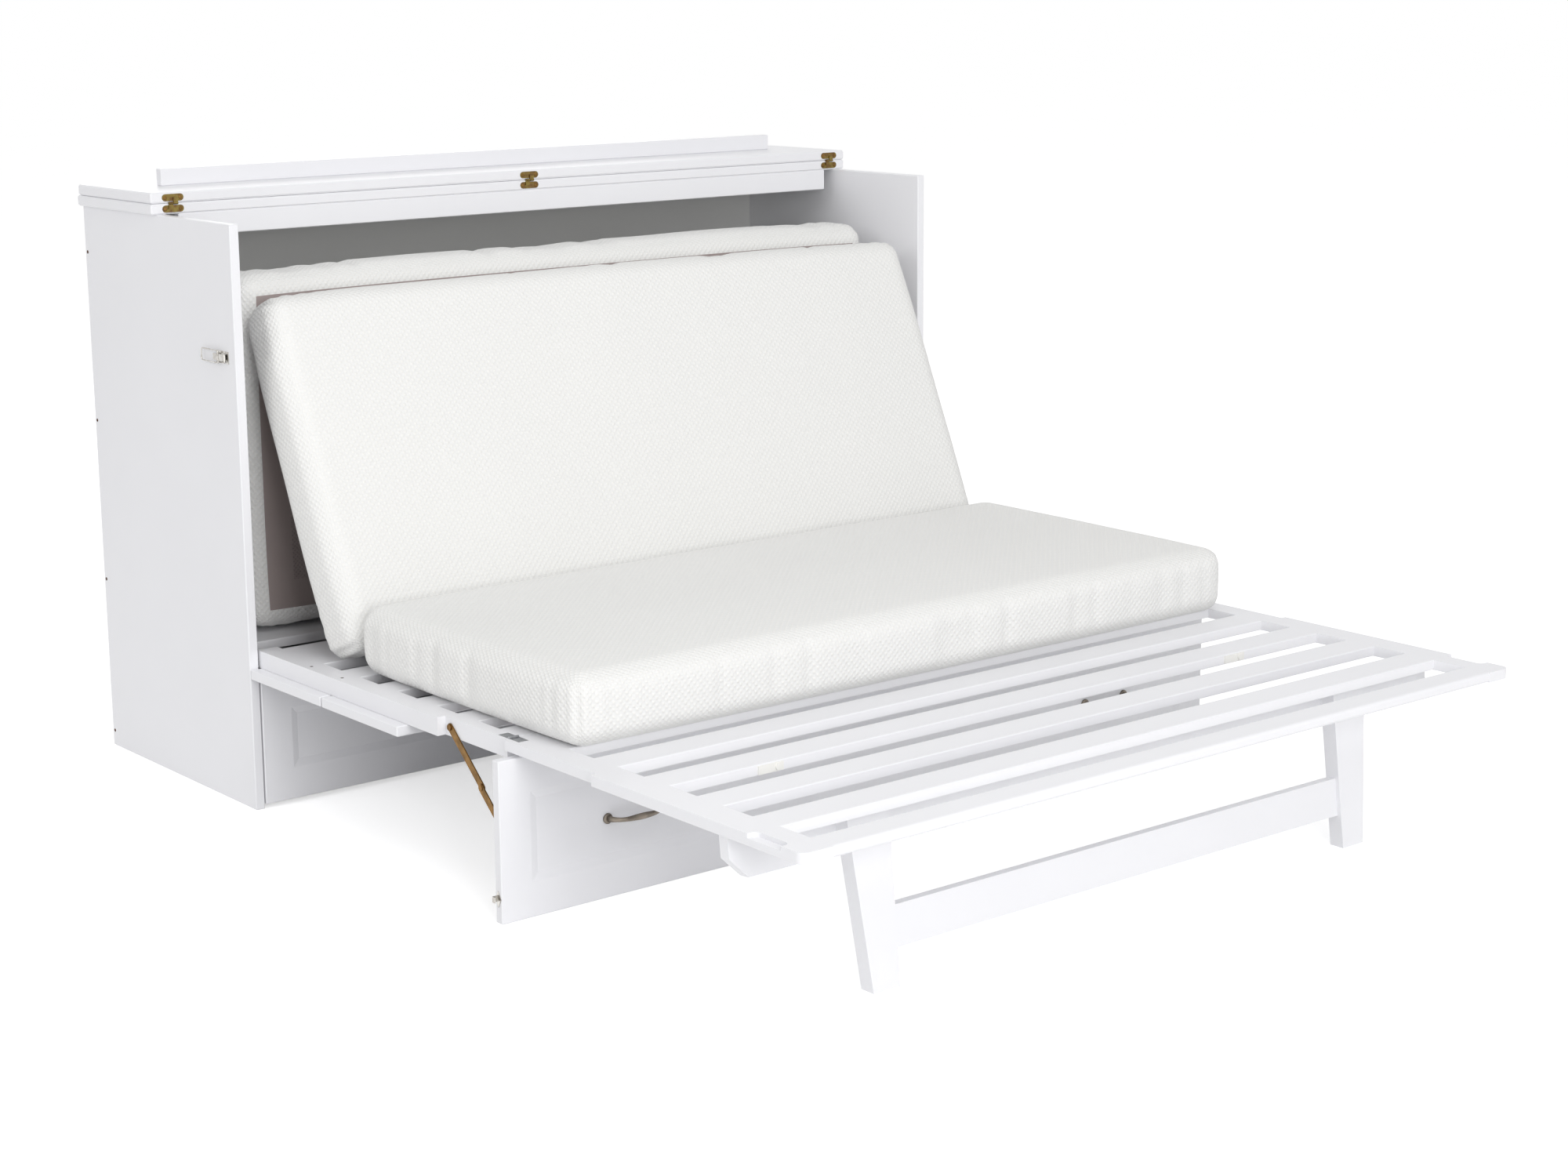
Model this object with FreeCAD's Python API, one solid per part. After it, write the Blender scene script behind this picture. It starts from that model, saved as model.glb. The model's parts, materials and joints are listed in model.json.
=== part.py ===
"""Cabinet bed: a chest that unfolds to the front into a bed for two, with a three-fold mattress.

Millimetres, +Z up, X across the bed, the cabinet's front faces -Y. The model is laid out from the front plane of
the cabinet (y = 0) and the floor (z = 0), and is moved to the centre of its footprint when it is written.
"""
import FreeCAD, Part

import math
import os

from FreeCAD import Vector

# ---------------------------------------------------------------- driving dimensions
CABINET_WIDTH = 1650.0
CABINET_DEPTH = 584.0
CABINET_HEIGHT = 1074.0
BOARD = 18.0                # panels of the cabinet and of the folding front
EDGE_BREAK = 1.5            # bevel along the edges of the painted boards
ROUND_SIDES = 12            # flats of the small round pieces and of their bores

BACK_BOARD = 12.0
BACK_LIFT = 60.0            # the back starts above the skirting board
TOP_BOARD = 20.0
TOP_SIDE_OVERHANG = 11.0
TOP_SEAM_Y = 274.0          # line on which the front half of the top turns
TOP_SEAM_GAP = 0.6
TOP_SHUT_LIFT = 0.2         # the shut front half above the sides
TOP_PIN_FORWARD = 1.0       # pin of the top's hinges ahead of the seam
TOP_FRONT_OVERHANG = 30.0
TOP_EDGE_BREAK = 3.0

TOP_CLEAT_INSET = 85.0      # batten on the inside of the front half, in from each side
TOP_CLEAT_HEIGHT = 32.0
TOP_CLEAT_THICK = 20.0
TOP_CLEAT_FROM_SEAM = 146.0
BACK_CLEAT_INSET = 26.0     # from the inner face of each side
BACK_CLEAT_HEIGHT = 42.0
BACK_CLEAT_FROM_SEAM = 2.0

TOP_HINGE_PLATE_LENGTH = 44.0
TOP_HINGE_PLATE_HEIGHT = 13.0
TOP_HINGE_PLATE_THICK = 1.5
TOP_HINGE_POCKET_GAP = 0.2
TOP_HINGE_FROM_END = 44.0
TOP_HINGE_ARM = 9.0
TOP_HINGE_ARM_THICK = 2.4
TOP_HINGE_EYE_RADIUS = 2.5
TOP_HINGE_PIN_RADIUS = 1.2
SCREW_HEAD_RADIUS = 3.2
SCREW_HEAD_HEIGHT = 0.9
SIDE_SCREWS_UP = (31.0, 340.0)      # from the floor
SIDE_SCREWS_DOWN = (417.0, 89.0)    # from the top board

DECK_TOP_Z = 299.0          # lying surface of both frames
INNER_DECK_DROP = 3.0
INNER_DECK_FRONT_Y = 72.0

DRAWER_FLOOR_GAP = 8.0
DRAWER_FRONT_TOP_Z = 243.0
DRAWER_PROUD = 2.0
DRAWER_SIDE_GAP = 2.0
DRAWER_WALL = 12.0
DRAWER_WALL_INSET = 14.0    # from the end of the drawer's front
DRAWER_WALL_TOP_Z = 190.0
DRAWER_BASE = 6.0
DRAWER_BASE_LIFT = 14.0
DRAWER_BACK_GAP = 56.0      # drawer to the cabinet's back
RUNNER_GAP = 0.4
RUNNER_SHEET = 1.5
RUNNER_HEIGHT = 40.0
RUNNER_Z = 60.0
RUNNER_BEHIND_FRONT = 4.0

PANEL_BORDER = 60.0         # flat frame round the sunk field of each front panel
PANEL_BEVEL = 14.0
PANEL_SUNK = 5.0

PIVOT_Y = 8.0               # the bed swings on two pins through the sides
PIVOT_PIN_RADIUS = 4.0
PIVOT_PIN_IN_SIDE = 12.0
PIVOT_PIN_IN_RAIL = 28.0
PIVOT_RUNNING = 0.05
PIVOT_NOSE_CLEAR = 1.0      # round end of the rails below the lying surface
PRESS_GAP = 0.02
PANEL_CLOSED_GAP = 0.5      # overlay panels to the cabinet's front edges, shut
OVERLAY_TOP_Z = 266.5       # upper face of the overlay panels, bed down
OVERLAY_REAR_Y = -2.0
OVERLAY_SEAM_Y = -253.0
OVERLAY_SEAM_GAP = 5.0
OVERLAY_FRONT_Y = -506.0

FRAME_SIDE_GAP = 3.0        # folding frames to the sides of the cabinet
MID_RAIL_WIDTH = 40.0
MID_RAIL_LIFT = 0.4         # side rails above the overlay panels
MID_WIDE_END_Y = -600.0
MID_NARROW_INSET = 16.0
MID_FRONT_Y = -783.0
MID_REAR_BOARD_Y = -11.0
MID_REAR_BOARD_WIDTH = 150.0
MID_FRONT_RAIL = 58.0
MID_SLATS = 4
SLAT_THICK = 18.0
SLAT_WIDTH = 64.0
SLAT_GAP = 68.0
DECK_SCREW_INSET = 14.0     # from the outer face of the rail
DECK_SCREWS_Y = (-164.0, -270.0)
DECK_SCREW_PROUD = 0.3      # sunk, so that the folded foot frame clears them

FOOT_FOLD_GAP = 2.0         # between the ends of the two frames
FOOT_RAIL_WIDTH = 57.0
FOOT_LENGTH = 758.0
FOOT_NARROW_LENGTH = 252.0
FOOT_NARROW_INSET = 10.0
FOOT_FRONT_RAIL = 51.0
FOOT_SLATS = 4
FOOT_CORNER_ROUND = 16.0
FOOT_NOSE_ROUND = 6.0
FOOT_AXIS_LIFT = 0.3
GRIP_LENGTH = 76.0
GRIP_WIDTH = 17.0
GRIP_DEPTH = 7.0
GRIP_ROUND = 10.0
GRIP_FROM_FRONT = 48.0
CLIP_LEFT_INSET = 197.0     # from the end of the slat
CLIP_RIGHT_INSET = 227.0
CLIP_LENGTH = 50.0
CLIP_HEIGHT = 14.0
CLIP_THICK = 3.0
CLIP_BOSS = 5.0
CLIP_DROP = 2.0             # below the lying surface

HINGE_SHEET = 1.6
HINGE_LEAF = 30.0
HINGE_PIN_RADIUS = 1.5
HINGE_RUNNING = 0.05
KNUCKLE_CLEAR = 0.3
FOLD_HINGE_INSET = 28.0     # frame to frame, on top of the rails
FOLD_HINGE_WIDTH = 19.0
FOLD_KNUCKLE_RADIUS = 2.5
FOLD_PIN_RADIUS = 1.1

LEG_LEAN = 6.5              # degrees, feet ahead of the hinge
LEG_RAIL_INSET = 7.0        # ends of the rail from the frame's sides
LEG_RAIL_HEIGHT = 71.0
LEG_RAIL_THICK = 20.0
LEG_RAIL_CHAMFER = 33.0
LEG_RAIL_FROM_FRONT = 198.0
LEG_KNUCKLE_OFFSET = 3.5
LEG_KNUCKLE_RADIUS = 3.2
LEG_HINGE_INSET = 31.0
LEG_HINGE_WIDTH = 40.0
LEG_THICK = 28.0
LEG_INSET = 200.0           # from the end of the leg rail
LEG_TOP_WIDTH = 86.0
LEG_TAPER = 29.0            # outer edge drawn in at the foot
LEG_FOOT_WIDTH = 53.0
STRETCHER_HEIGHT = 66.0
STRETCHER_Z = 50.0
STRETCHER_THICK = 20.0
UNDER_GAP = 0.4

FLAP_HINGE_DROP = 24.0      # below the lying surface
FLAP_TOP_CLEAR = 2.0
FLAP_KNUCKLE_RADIUS = 3.5
FLAP_HINGE_INSET = 205.0    # outer hinges from the flap's ends
FLAP_HINGE_SPACING = 413.0
FLAP_HINGE_WIDTH = 60.0

STAY_WIDTH = 14.0
STAY_THICK = 2.2
STAY_GAP = 0.5
STAY_RIVET_RADIUS = 3.5
STAY_HEAD_RADIUS = 5.5
STAY_FRAME_Y = -617.0
STAY_FRAME_Z = 283.0
STAY_FLAP_Z = 140.0
BRACKET_SHEET = 2.0
BRACKET_HEIGHT = 28.0
BRACKET_FOOT = 11.0

HANDLE_FROM_SIDE = 267.0
HANDLE_LENGTH = 104.0
HANDLE_REACH = 26.0
HANDLE_Z = 135.0
HANDLE_RADIUS = 5.0
HANDLE_FOOT = 9.0
HANDLE_FOOT_THICK = 4.0
HANDLE_SHOULDER = 10.0      # the bend of the bow, in from each foot
HANDLE_CUT = 20.0           # half height of the cut behind the seat
HANDLE_SWELL = ((0.0, 0.9), (0.12, 0.8), (0.25, 0.75), (0.38, 0.95), (0.5, 1.15),
                (0.62, 0.95), (0.75, 0.75), (0.88, 0.8), (1.0, 0.9))

CATCH_Z = 42.0
CATCH_HALF_WIDTH = 8.0
CATCH_HALF_HEIGHT = 14.0
CATCH_SHEET = 1.5
HOOK_HALF_HEIGHT = 5.0
HOOK_REACH = 4.0            # the hook's tip ahead of the wire
HOOK_LIP_CLEAR = 1.0
HOOK_TIP_CLEAR = 0.6
LATCH_FRONT_Y = 24.0
LATCH_PLATE_LENGTH = 44.0
LATCH_PLATE_HEIGHT = 22.0
LATCH_PLATE_THICK = 1.5
LATCH_PIN_FROM_FRONT = 7.0
LATCH_PIN_OUT = 6.0         # pins of the latch from the side panel
LATCH_PIN_RADIUS = 1.5
LATCH_LEVER_LENGTH = 40.0
LATCH_LEVER_HALF = 6.0
LATCH_TONGUE_THICK = 2.0
LATCH_EYE_RADIUS = 3.0
LATCH_EAR_GAP = 1.0         # lever to ear
LATCH_EAR_THICK = 2.0
LATCH_EAR_HALF = 4.0
LATCH_BAIL_FROM_PIN = 23.0
BAIL_REACH = 62.0
BAIL_WIRE = 1.3
BAIL_HALF = 11.0

MATTRESS_SIDE_GAP = 42.0    # from the outer face of each rail
MATTRESS_SECTION = 677.0
MATTRESS_THICK = 130.0
MATTRESS_ROUND = 22.0
MATTRESS_LEAST_ROUND = 3.0  # corners of the end faces
MATTRESS_CROWN = 6.0
MATTRESS_BOW = 4.0
MATTRESS_FRONT_Y = -940.0
MATTRESS_GAP = 0.4
SECTION_GAP = 0.8
LEAN_BACK = 24.0            # degrees, middle section from upright

# ---------------------------------------------------------------- sizes that follow
HALF = CABINET_WIDTH / 2
INNER_HALF = HALF - BOARD
FRAME_HALF = INNER_HALF - FRAME_SIDE_GAP
TOP_CLEAT_HALF = HALF - TOP_CLEAT_INSET
SIDE_SCREWS_Z = SIDE_SCREWS_UP + tuple(CABINET_HEIGHT - down for down in SIDE_SCREWS_DOWN)
DECK_SCREW_X = FRAME_HALF - DECK_SCREW_INSET
FOLD_HINGE_X = FRAME_HALF - FOLD_HINGE_INSET
LEG_RAIL_HALF = FRAME_HALF - LEG_RAIL_INSET
LEG_HINGE_X = FRAME_HALF - LEG_HINGE_INSET
LEG_OUTER_TOP = LEG_RAIL_HALF - LEG_INSET
LEG_INNER_TOP = LEG_OUTER_TOP - LEG_TOP_WIDTH
LEG_OUTER_FOOT = LEG_OUTER_TOP - LEG_TAPER
LEG_INNER_FOOT = LEG_OUTER_FOOT - LEG_FOOT_WIDTH
HANDLE_CENTRE_X = HALF - HANDLE_FROM_SIDE
MATTRESS_WIDTH = 2 * (FRAME_HALF - MATTRESS_SIDE_GAP)
FLAP_HINGE_END_X = HALF - FLAP_HINGE_INSET
FLAP_HINGES_X = (-FLAP_HINGE_END_X, FLAP_HINGE_SPACING - FLAP_HINGE_END_X,
                 FLAP_HINGE_END_X - FLAP_HINGE_SPACING, FLAP_HINGE_END_X)
OVERLAY_BOTTOM_Z = OVERLAY_TOP_Z - BOARD
PIVOT_Z = OVERLAY_TOP_Z + PANEL_CLOSED_GAP + PIVOT_Y
TOP_AXIS_Y = TOP_SEAM_Y - TOP_PIN_FORWARD
TOP_AXIS_Z = CABINET_HEIGHT + TOP_BOARD + (TOP_SEAM_GAP + TOP_SHUT_LIFT) / 2
TOP_EDGE_Y = TOP_SEAM_Y + TOP_SEAM_GAP
MID_CROSS_HALF = FRAME_HALF - MID_RAIL_WIDTH
MID_NARROW_HALF = FRAME_HALF - MID_NARROW_INSET
RAIL_BOTTOM_Z = OVERLAY_TOP_Z + MID_RAIL_LIFT
FOOT_CROSS_HALF = FRAME_HALF - FOOT_RAIL_WIDTH
CLIPS_X = (CLIP_LEFT_INSET - FOOT_CROSS_HALF, FOOT_CROSS_HALF - CLIP_RIGHT_INSET)
FOOT_NARROW_HALF = FRAME_HALF - FOOT_NARROW_INSET
FOOT_REAR_Y = MID_FRONT_Y - FOOT_FOLD_GAP
FOOT_FRONT_Y = FOOT_REAR_Y - FOOT_LENGTH
FOOT_SLAT_END_Y = FOOT_FRONT_Y + FOOT_FRONT_RAIL + FOOT_SLATS * SLAT_WIDTH + (FOOT_SLATS + 1) * SLAT_GAP
FOOT_AXIS_Y = (MID_FRONT_Y + FOOT_REAR_Y) / 2
FOOT_AXIS_Z = DECK_TOP_Z + FOOT_AXIS_LIFT
SLAT_BOTTOM_Z = DECK_TOP_Z - SLAT_THICK
FLAP_AXIS_Y = MID_FRONT_Y - FOOT_FOLD_GAP
FLAP_AXIS_Z = DECK_TOP_Z - FLAP_HINGE_DROP
FLAP_FRONT_Y = FLAP_AXIS_Y - (FLAP_AXIS_Z - OVERLAY_BOTTOM_Z)
FLAP_BACK_Y = FLAP_FRONT_Y + BOARD
FLAP_TOP_Z = FLAP_AXIS_Z - FLAP_TOP_CLEAR
LEG_AXIS_Y = FOOT_FRONT_Y + LEG_RAIL_FROM_FRONT + LEG_KNUCKLE_OFFSET
LEG_AXIS_Z = SLAT_BOTTOM_Z - UNDER_GAP - LEG_KNUCKLE_OFFSET
LEG_TOP_Z = SLAT_BOTTOM_Z - UNDER_GAP
LEG_TRIM = 12.0             # raw length beyond the sloping cuts at the top and the floor
STAY_UPPER_X = -MID_NARROW_HALF - STAY_GAP - STAY_THICK
STAY_LOWER_X = STAY_UPPER_X - STAY_GAP - STAY_THICK
STAY_FLAP_Y = FLAP_BACK_Y + STAY_FRAME_Z - OVERLAY_TOP_Z
DRAWER_HALF = INNER_HALF - DRAWER_SIDE_GAP
DRAWER_WALL_HALF = DRAWER_HALF - DRAWER_WALL_INSET
DRAWER_WALL_Y = BOARD - DRAWER_PROUD
DRAWER_BACK_Y = CABINET_DEPTH - BACK_BOARD - DRAWER_BACK_GAP
SWING = PIVOT_Y - FLAP_AXIS_Y
LATCH_Z = PIVOT_Z + SWING - (FLAP_AXIS_Z - CATCH_Z)
LATCH_PIN_Y = LATCH_FRONT_Y + LATCH_PIN_FROM_FRONT
BAIL_PIN_Y = LATCH_PIN_Y + LATCH_BAIL_FROM_PIN
LATCH_X = -HALF - LATCH_PIN_OUT
CENTRE_Y = (CABINET_DEPTH + FOOT_FRONT_Y) / 2

X_AXIS = Vector(1, 0, 0)
Y_AXIS = Vector(0, 1, 0)
Z_AXIS = Vector(0, 0, 1)


# ---------------------------------------------------------------- small tools
def block(x0, x1, y0, y1, z0, z1):
    """A box between two corners."""
    return Part.makeBox(x1 - x0, y1 - y0, z1 - z0, Vector(x0, y0, z0))


def board(x0, x1, y0, y1, z0, z1, bevel=EDGE_BREAK):
    """A board with all its edges broken."""
    shape = block(x0, x1, y0, y1, z0, z1)
    return shape.makeChamfer(bevel, shape.Edges)


def long_board(x0, x1, y0, y1, z0, z1):
    """A slat or rail across the bed: only its four long edges are broken, the ends butt."""
    shape = block(x0, x1, y0, y1, z0, z1)
    edges = [e for e in shape.Edges if abs(e.tangentAt(e.FirstParameter).x) > 0.9]
    return shape.makeChamfer(EDGE_BREAK, edges)


def ring(centre, across, up, radius):
    """A closed outline with its corners on a circle."""
    step = 2 * math.pi / ROUND_SIDES
    corners = [centre + (across * math.cos(n * step) + up * math.sin(n * step)) * radius for n in range(ROUND_SIDES)]
    return Part.makePolygon(corners + [corners[0]])


def rod(radius, start, direction, length):
    """A small round piece, pin or head along an axis, its corners on the radius."""
    across = direction.cross(Vector(direction.y, direction.z, direction.x))
    return Part.Face(ring(start, across, direction.cross(across), radius)).extrude(direction * length)


def bore(radius, start, direction, length):
    """Room in which a rod of that radius turns: its flats lie on the radius."""
    return rod(radius / math.cos(math.pi / ROUND_SIDES), start, direction, length)


def mirrored(shape):
    """The same piece on the other side of the bed."""
    return shape.mirror(Vector(0, 0, 0), X_AXIS)


def both_sides(shape):
    return Part.makeCompound([shape, mirrored(shape)])


def outline(points, direction):
    """A flat outline carried along a direction."""
    wire = Part.makePolygon([Vector(*p) for p in points] + [Vector(*points[0])])
    return Part.Face(wire).extrude(direction)


def turned(shape, y, z, degrees):
    """Turned about a line along X through y, z."""
    copy = shape.copy()
    copy.rotate(Vector(0, y, z), X_AXIS, degrees)
    return copy


def sunk_panel(x0, x1, y_front, z0, z1):
    """A front panel facing -Y: a flat border and a bevel that falls to a sunk field."""
    shape = board(x0, x1, y_front, y_front + BOARD, z0, z1)
    rings = []
    for depth in (-1.0, PANEL_SUNK):
        inset = PANEL_BORDER + PANEL_BEVEL * depth / PANEL_SUNK
        y = y_front + depth
        corners = [Vector(x0 + inset, y, z0 + inset), Vector(x1 - inset, y, z0 + inset),
                   Vector(x1 - inset, y, z1 - inset), Vector(x0 + inset, y, z1 - inset)]
        rings.append(Part.makePolygon(corners + [corners[0]]))
    return shape.cut(Part.makeLoft(rings, True, True))


def screw_head(point, direction):
    """A small raised screw head standing on a face."""
    return rod(SCREW_HEAD_RADIUS, Vector(*point), direction, SCREW_HEAD_HEIGHT)


def butt_hinge(x, y, z, width, radius, pin, outer_boxes, middle_boxes):
    """Both halves of a butt hinge about X: end knuckles with the pin, and a bored middle knuckle.

    The boxes are the leaves, given from the pin as (y0, y1, z0, z1).
    """
    third = width / 3
    left = x - width / 2
    mid_zone = bore(radius + KNUCKLE_CLEAR, Vector(left + third - KNUCKLE_CLEAR, y, z), X_AXIS,
                    third + 2 * KNUCKLE_CLEAR)
    end_zones = [bore(radius + KNUCKLE_CLEAR, Vector(left + 2 * n * third - KNUCKLE_CLEAR, y, z), X_AXIS,
                      third + 2 * KNUCKLE_CLEAR) for n in (0, 1)]
    outer = [block(left, left + width, y + b[0], y + b[1], z + b[2], z + b[3]) for b in outer_boxes]
    middle = [block(left, left + width, y + b[0], y + b[1], z + b[2], z + b[3]) for b in middle_boxes]
    ends = [rod(radius, Vector(left + 2 * n * third, y, z), X_AXIS, third) for n in (0, 1)]
    knuckle = rod(radius, Vector(left + third + KNUCKLE_CLEAR, y, z), X_AXIS, third - 2 * KNUCKLE_CLEAR)
    fixed = outer[0].fuse(outer[1:]) if len(outer) > 1 else outer[0]
    fixed = fixed.cut(mid_zone).fuse(ends + [rod(pin, Vector(left, y, z), X_AXIS, width)])
    moving = middle[0].fuse(middle[1:]) if len(middle) > 1 else middle[0]
    moving = moving.cut(end_zones[0].fuse(end_zones[1])).fuse(knuckle)
    moving = moving.cut(bore(pin + HINGE_RUNNING, Vector(left - 1, y, z), X_AXIS, width + 2))
    return fixed.removeSplitter(), moving.removeSplitter()


# ---------------------------------------------------------------- cabinet
def side_panel():
    """Left side: a plain board, bored near its front edge for the pin on which the bed swings."""
    shape = board(-HALF, -INNER_HALF, 0, CABINET_DEPTH, 0, CABINET_HEIGHT)
    start = Vector(-INNER_HALF - PIVOT_PIN_IN_SIDE, PIVOT_Y, PIVOT_Z)
    return shape.cut(rod(PIVOT_PIN_RADIUS + PRESS_GAP, start, X_AXIS, BOARD))


def back_panel():
    return block(-INNER_HALF, INNER_HALF, CABINET_DEPTH - BACK_BOARD, CABINET_DEPTH, BACK_LIFT, CABINET_HEIGHT)


def inner_deck():
    """Fixed shelf on which the folded mattress stands."""
    top = DECK_TOP_Z - INNER_DECK_DROP
    return long_board(-INNER_HALF, INNER_HALF, INNER_DECK_FRONT_Y, CABINET_DEPTH - BACK_BOARD, top - BOARD, top)


def pivot_pins():
    """Two steel pins, pressed in the sides, that carry the middle frame."""
    start = Vector(-INNER_HALF - PIVOT_PIN_IN_SIDE, PIVOT_Y, PIVOT_Z)
    length = PIVOT_PIN_IN_SIDE + FRAME_SIDE_GAP + PIVOT_PIN_IN_RAIL
    return both_sides(rod(PIVOT_PIN_RADIUS, start, X_AXIS, length))


def cabinet_screws():
    """Dark screws that hold the back to the sides."""
    y = CABINET_DEPTH - BACK_BOARD / 2 - SCREW_HEAD_RADIUS
    heads = [screw_head((-HALF, y, z), Vector(-1, 0, 0)) for z in SIDE_SCREWS_Z]
    return both_sides(Part.makeCompound(heads))


def rear_top():
    half = HALF + TOP_SIDE_OVERHANG
    shape = board(-half, half, TOP_EDGE_Y, CABINET_DEPTH, CABINET_HEIGHT, CABINET_HEIGHT + TOP_BOARD,
                  TOP_EDGE_BREAK)
    return shape.cut(hinge_pockets(CABINET_HEIGHT + TOP_BOARD / 2))


def front_top():
    """The front half of the top, turned over on to the rear half."""
    half = HALF + TOP_SIDE_OVERHANG
    base = CABINET_HEIGHT + TOP_BOARD + TOP_SEAM_GAP
    depth = TOP_SEAM_Y + TOP_FRONT_OVERHANG
    shape = board(-half, half, TOP_EDGE_Y, TOP_EDGE_Y + depth, base, base + TOP_BOARD, TOP_EDGE_BREAK)
    return shape.cut(hinge_pockets(base + TOP_BOARD / 2))


def front_top_cleat():
    base = CABINET_HEIGHT + 2 * TOP_BOARD + TOP_SEAM_GAP
    y = TOP_SEAM_Y + TOP_CLEAT_FROM_SEAM
    return board(-TOP_CLEAT_HALF, TOP_CLEAT_HALF, y, y + TOP_CLEAT_THICK, base, base + TOP_CLEAT_HEIGHT)


def rear_top_cleat():
    half = INNER_HALF - BACK_CLEAT_INSET
    y = TOP_SEAM_Y + BACK_CLEAT_FROM_SEAM
    return board(-half, half, y, y + BOARD, CABINET_HEIGHT - BACK_CLEAT_HEIGHT, CABINET_HEIGHT)


def hinge_places():
    end = HALF + TOP_SIDE_OVERHANG - TOP_HINGE_FROM_END
    return (-end, 0.0, end)


def hinge_plate(x, z, y0, y1, grow):
    """A round-ended plate standing on a top board's edge."""
    radius = TOP_HINGE_PLATE_HEIGHT / 2
    flat = TOP_HINGE_PLATE_LENGTH / 2 - radius
    middle = block(x - flat, x + flat, y0, y1, z - radius - grow, z + radius + grow)
    ends = [rod(radius + grow, Vector(x + s * flat, y0, z), Y_AXIS, y1 - y0) for s in (-1, 1)]
    return middle.fuse(ends).removeSplitter()


def hinge_pockets(z):
    """Cuts that let the plates in flush."""
    end = TOP_EDGE_Y + TOP_HINGE_PLATE_THICK
    return Part.makeCompound([hinge_plate(x, z, TOP_EDGE_Y - 1, end, TOP_HINGE_POCKET_GAP) for x in hinge_places()])


def top_hinges(z, side, with_pin):
    """Plates of the three hinges on one board's edge, each with an arm and an eye on the common pin."""
    solids = []
    gap = TOP_SEAM_GAP / 2
    for x in hinge_places():
        plate = hinge_plate(x, z, TOP_EDGE_Y, TOP_EDGE_Y + TOP_HINGE_PLATE_THICK, 0.0)
        x0 = x + gap if side > 0 else x - gap - TOP_HINGE_ARM
        low, high = sorted((z, TOP_AXIS_Z))
        arm = block(x0, x0 + TOP_HINGE_ARM, TOP_EDGE_Y - TOP_HINGE_ARM_THICK, TOP_EDGE_Y, low, high)
        eye = rod(TOP_HINGE_EYE_RADIUS, Vector(x0, TOP_AXIS_Y, TOP_AXIS_Z), X_AXIS, TOP_HINGE_ARM)
        flat = (TOP_HINGE_PLATE_LENGTH - TOP_HINGE_PLATE_HEIGHT) / 2
        heads = [screw_head((x + s * flat, TOP_EDGE_Y, z), Vector(0, -1, 0)) for s in (-1, 1)]
        solid = plate.fuse([arm, eye] + heads)
        start = Vector(x - gap - TOP_HINGE_ARM, TOP_AXIS_Y, TOP_AXIS_Z)
        length = 2 * (gap + TOP_HINGE_ARM)
        if with_pin:
            solid = solid.fuse(rod(TOP_HINGE_PIN_RADIUS, start, X_AXIS, length))
        else:
            solid = solid.cut(bore(TOP_HINGE_PIN_RADIUS + HINGE_RUNNING, start, X_AXIS, length))
        solids.append(solid.removeSplitter())
    return Part.makeCompound(solids)


def top_hinge_fixed():
    return top_hinges(CABINET_HEIGHT + TOP_BOARD / 2, -1, True)


def top_hinge_moving():
    return top_hinges(CABINET_HEIGHT + TOP_BOARD + TOP_SEAM_GAP + TOP_BOARD / 2, 1, False)


# ---------------------------------------------------------------- drawer
def drawer_front():
    return sunk_panel(-DRAWER_HALF, DRAWER_HALF, -DRAWER_PROUD, DRAWER_FLOOR_GAP, DRAWER_FRONT_TOP_Z)


def drawer_side():
    return block(-DRAWER_WALL_HALF, -DRAWER_WALL_HALF + DRAWER_WALL, DRAWER_WALL_Y, DRAWER_BACK_Y,
                 DRAWER_BASE_LIFT, DRAWER_WALL_TOP_Z)


def drawer_back():
    half = DRAWER_WALL_HALF - DRAWER_WALL
    return block(-half, half, DRAWER_BACK_Y - DRAWER_WALL, DRAWER_BACK_Y, DRAWER_BASE_LIFT, DRAWER_WALL_TOP_Z)


def drawer_base():
    half = DRAWER_WALL_HALF - DRAWER_WALL
    return block(-half, half, DRAWER_WALL_Y, DRAWER_BACK_Y - DRAWER_WALL, DRAWER_BASE_LIFT,
                 DRAWER_BASE_LIFT + DRAWER_BASE)


def drawer_runners():
    """Steel channels screwed to the inner faces of the sides."""
    y0 = BOARD + RUNNER_BEHIND_FRONT
    top = RUNNER_Z + RUNNER_HEIGHT
    outer = block(-INNER_HALF, -DRAWER_WALL_HALF - RUNNER_GAP, y0, DRAWER_BACK_Y, RUNNER_Z, top)
    hollow = block(-INNER_HALF + RUNNER_SHEET, -DRAWER_WALL_HALF, y0 - 1, DRAWER_BACK_Y + 1,
                   RUNNER_Z + RUNNER_SHEET, top - RUNNER_SHEET)
    return both_sides(outer.cut(hollow))


def drawer_slides():
    """The inner members, screwed to the drawer's sides and running in the channels."""
    inset = RUNNER_SHEET + RUNNER_GAP
    return both_sides(block(-INNER_HALF + inset, -DRAWER_WALL_HALF, BOARD + RUNNER_BEHIND_FRONT, DRAWER_BACK_Y,
                            RUNNER_Z + inset, RUNNER_Z + RUNNER_HEIGHT - inset))


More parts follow.
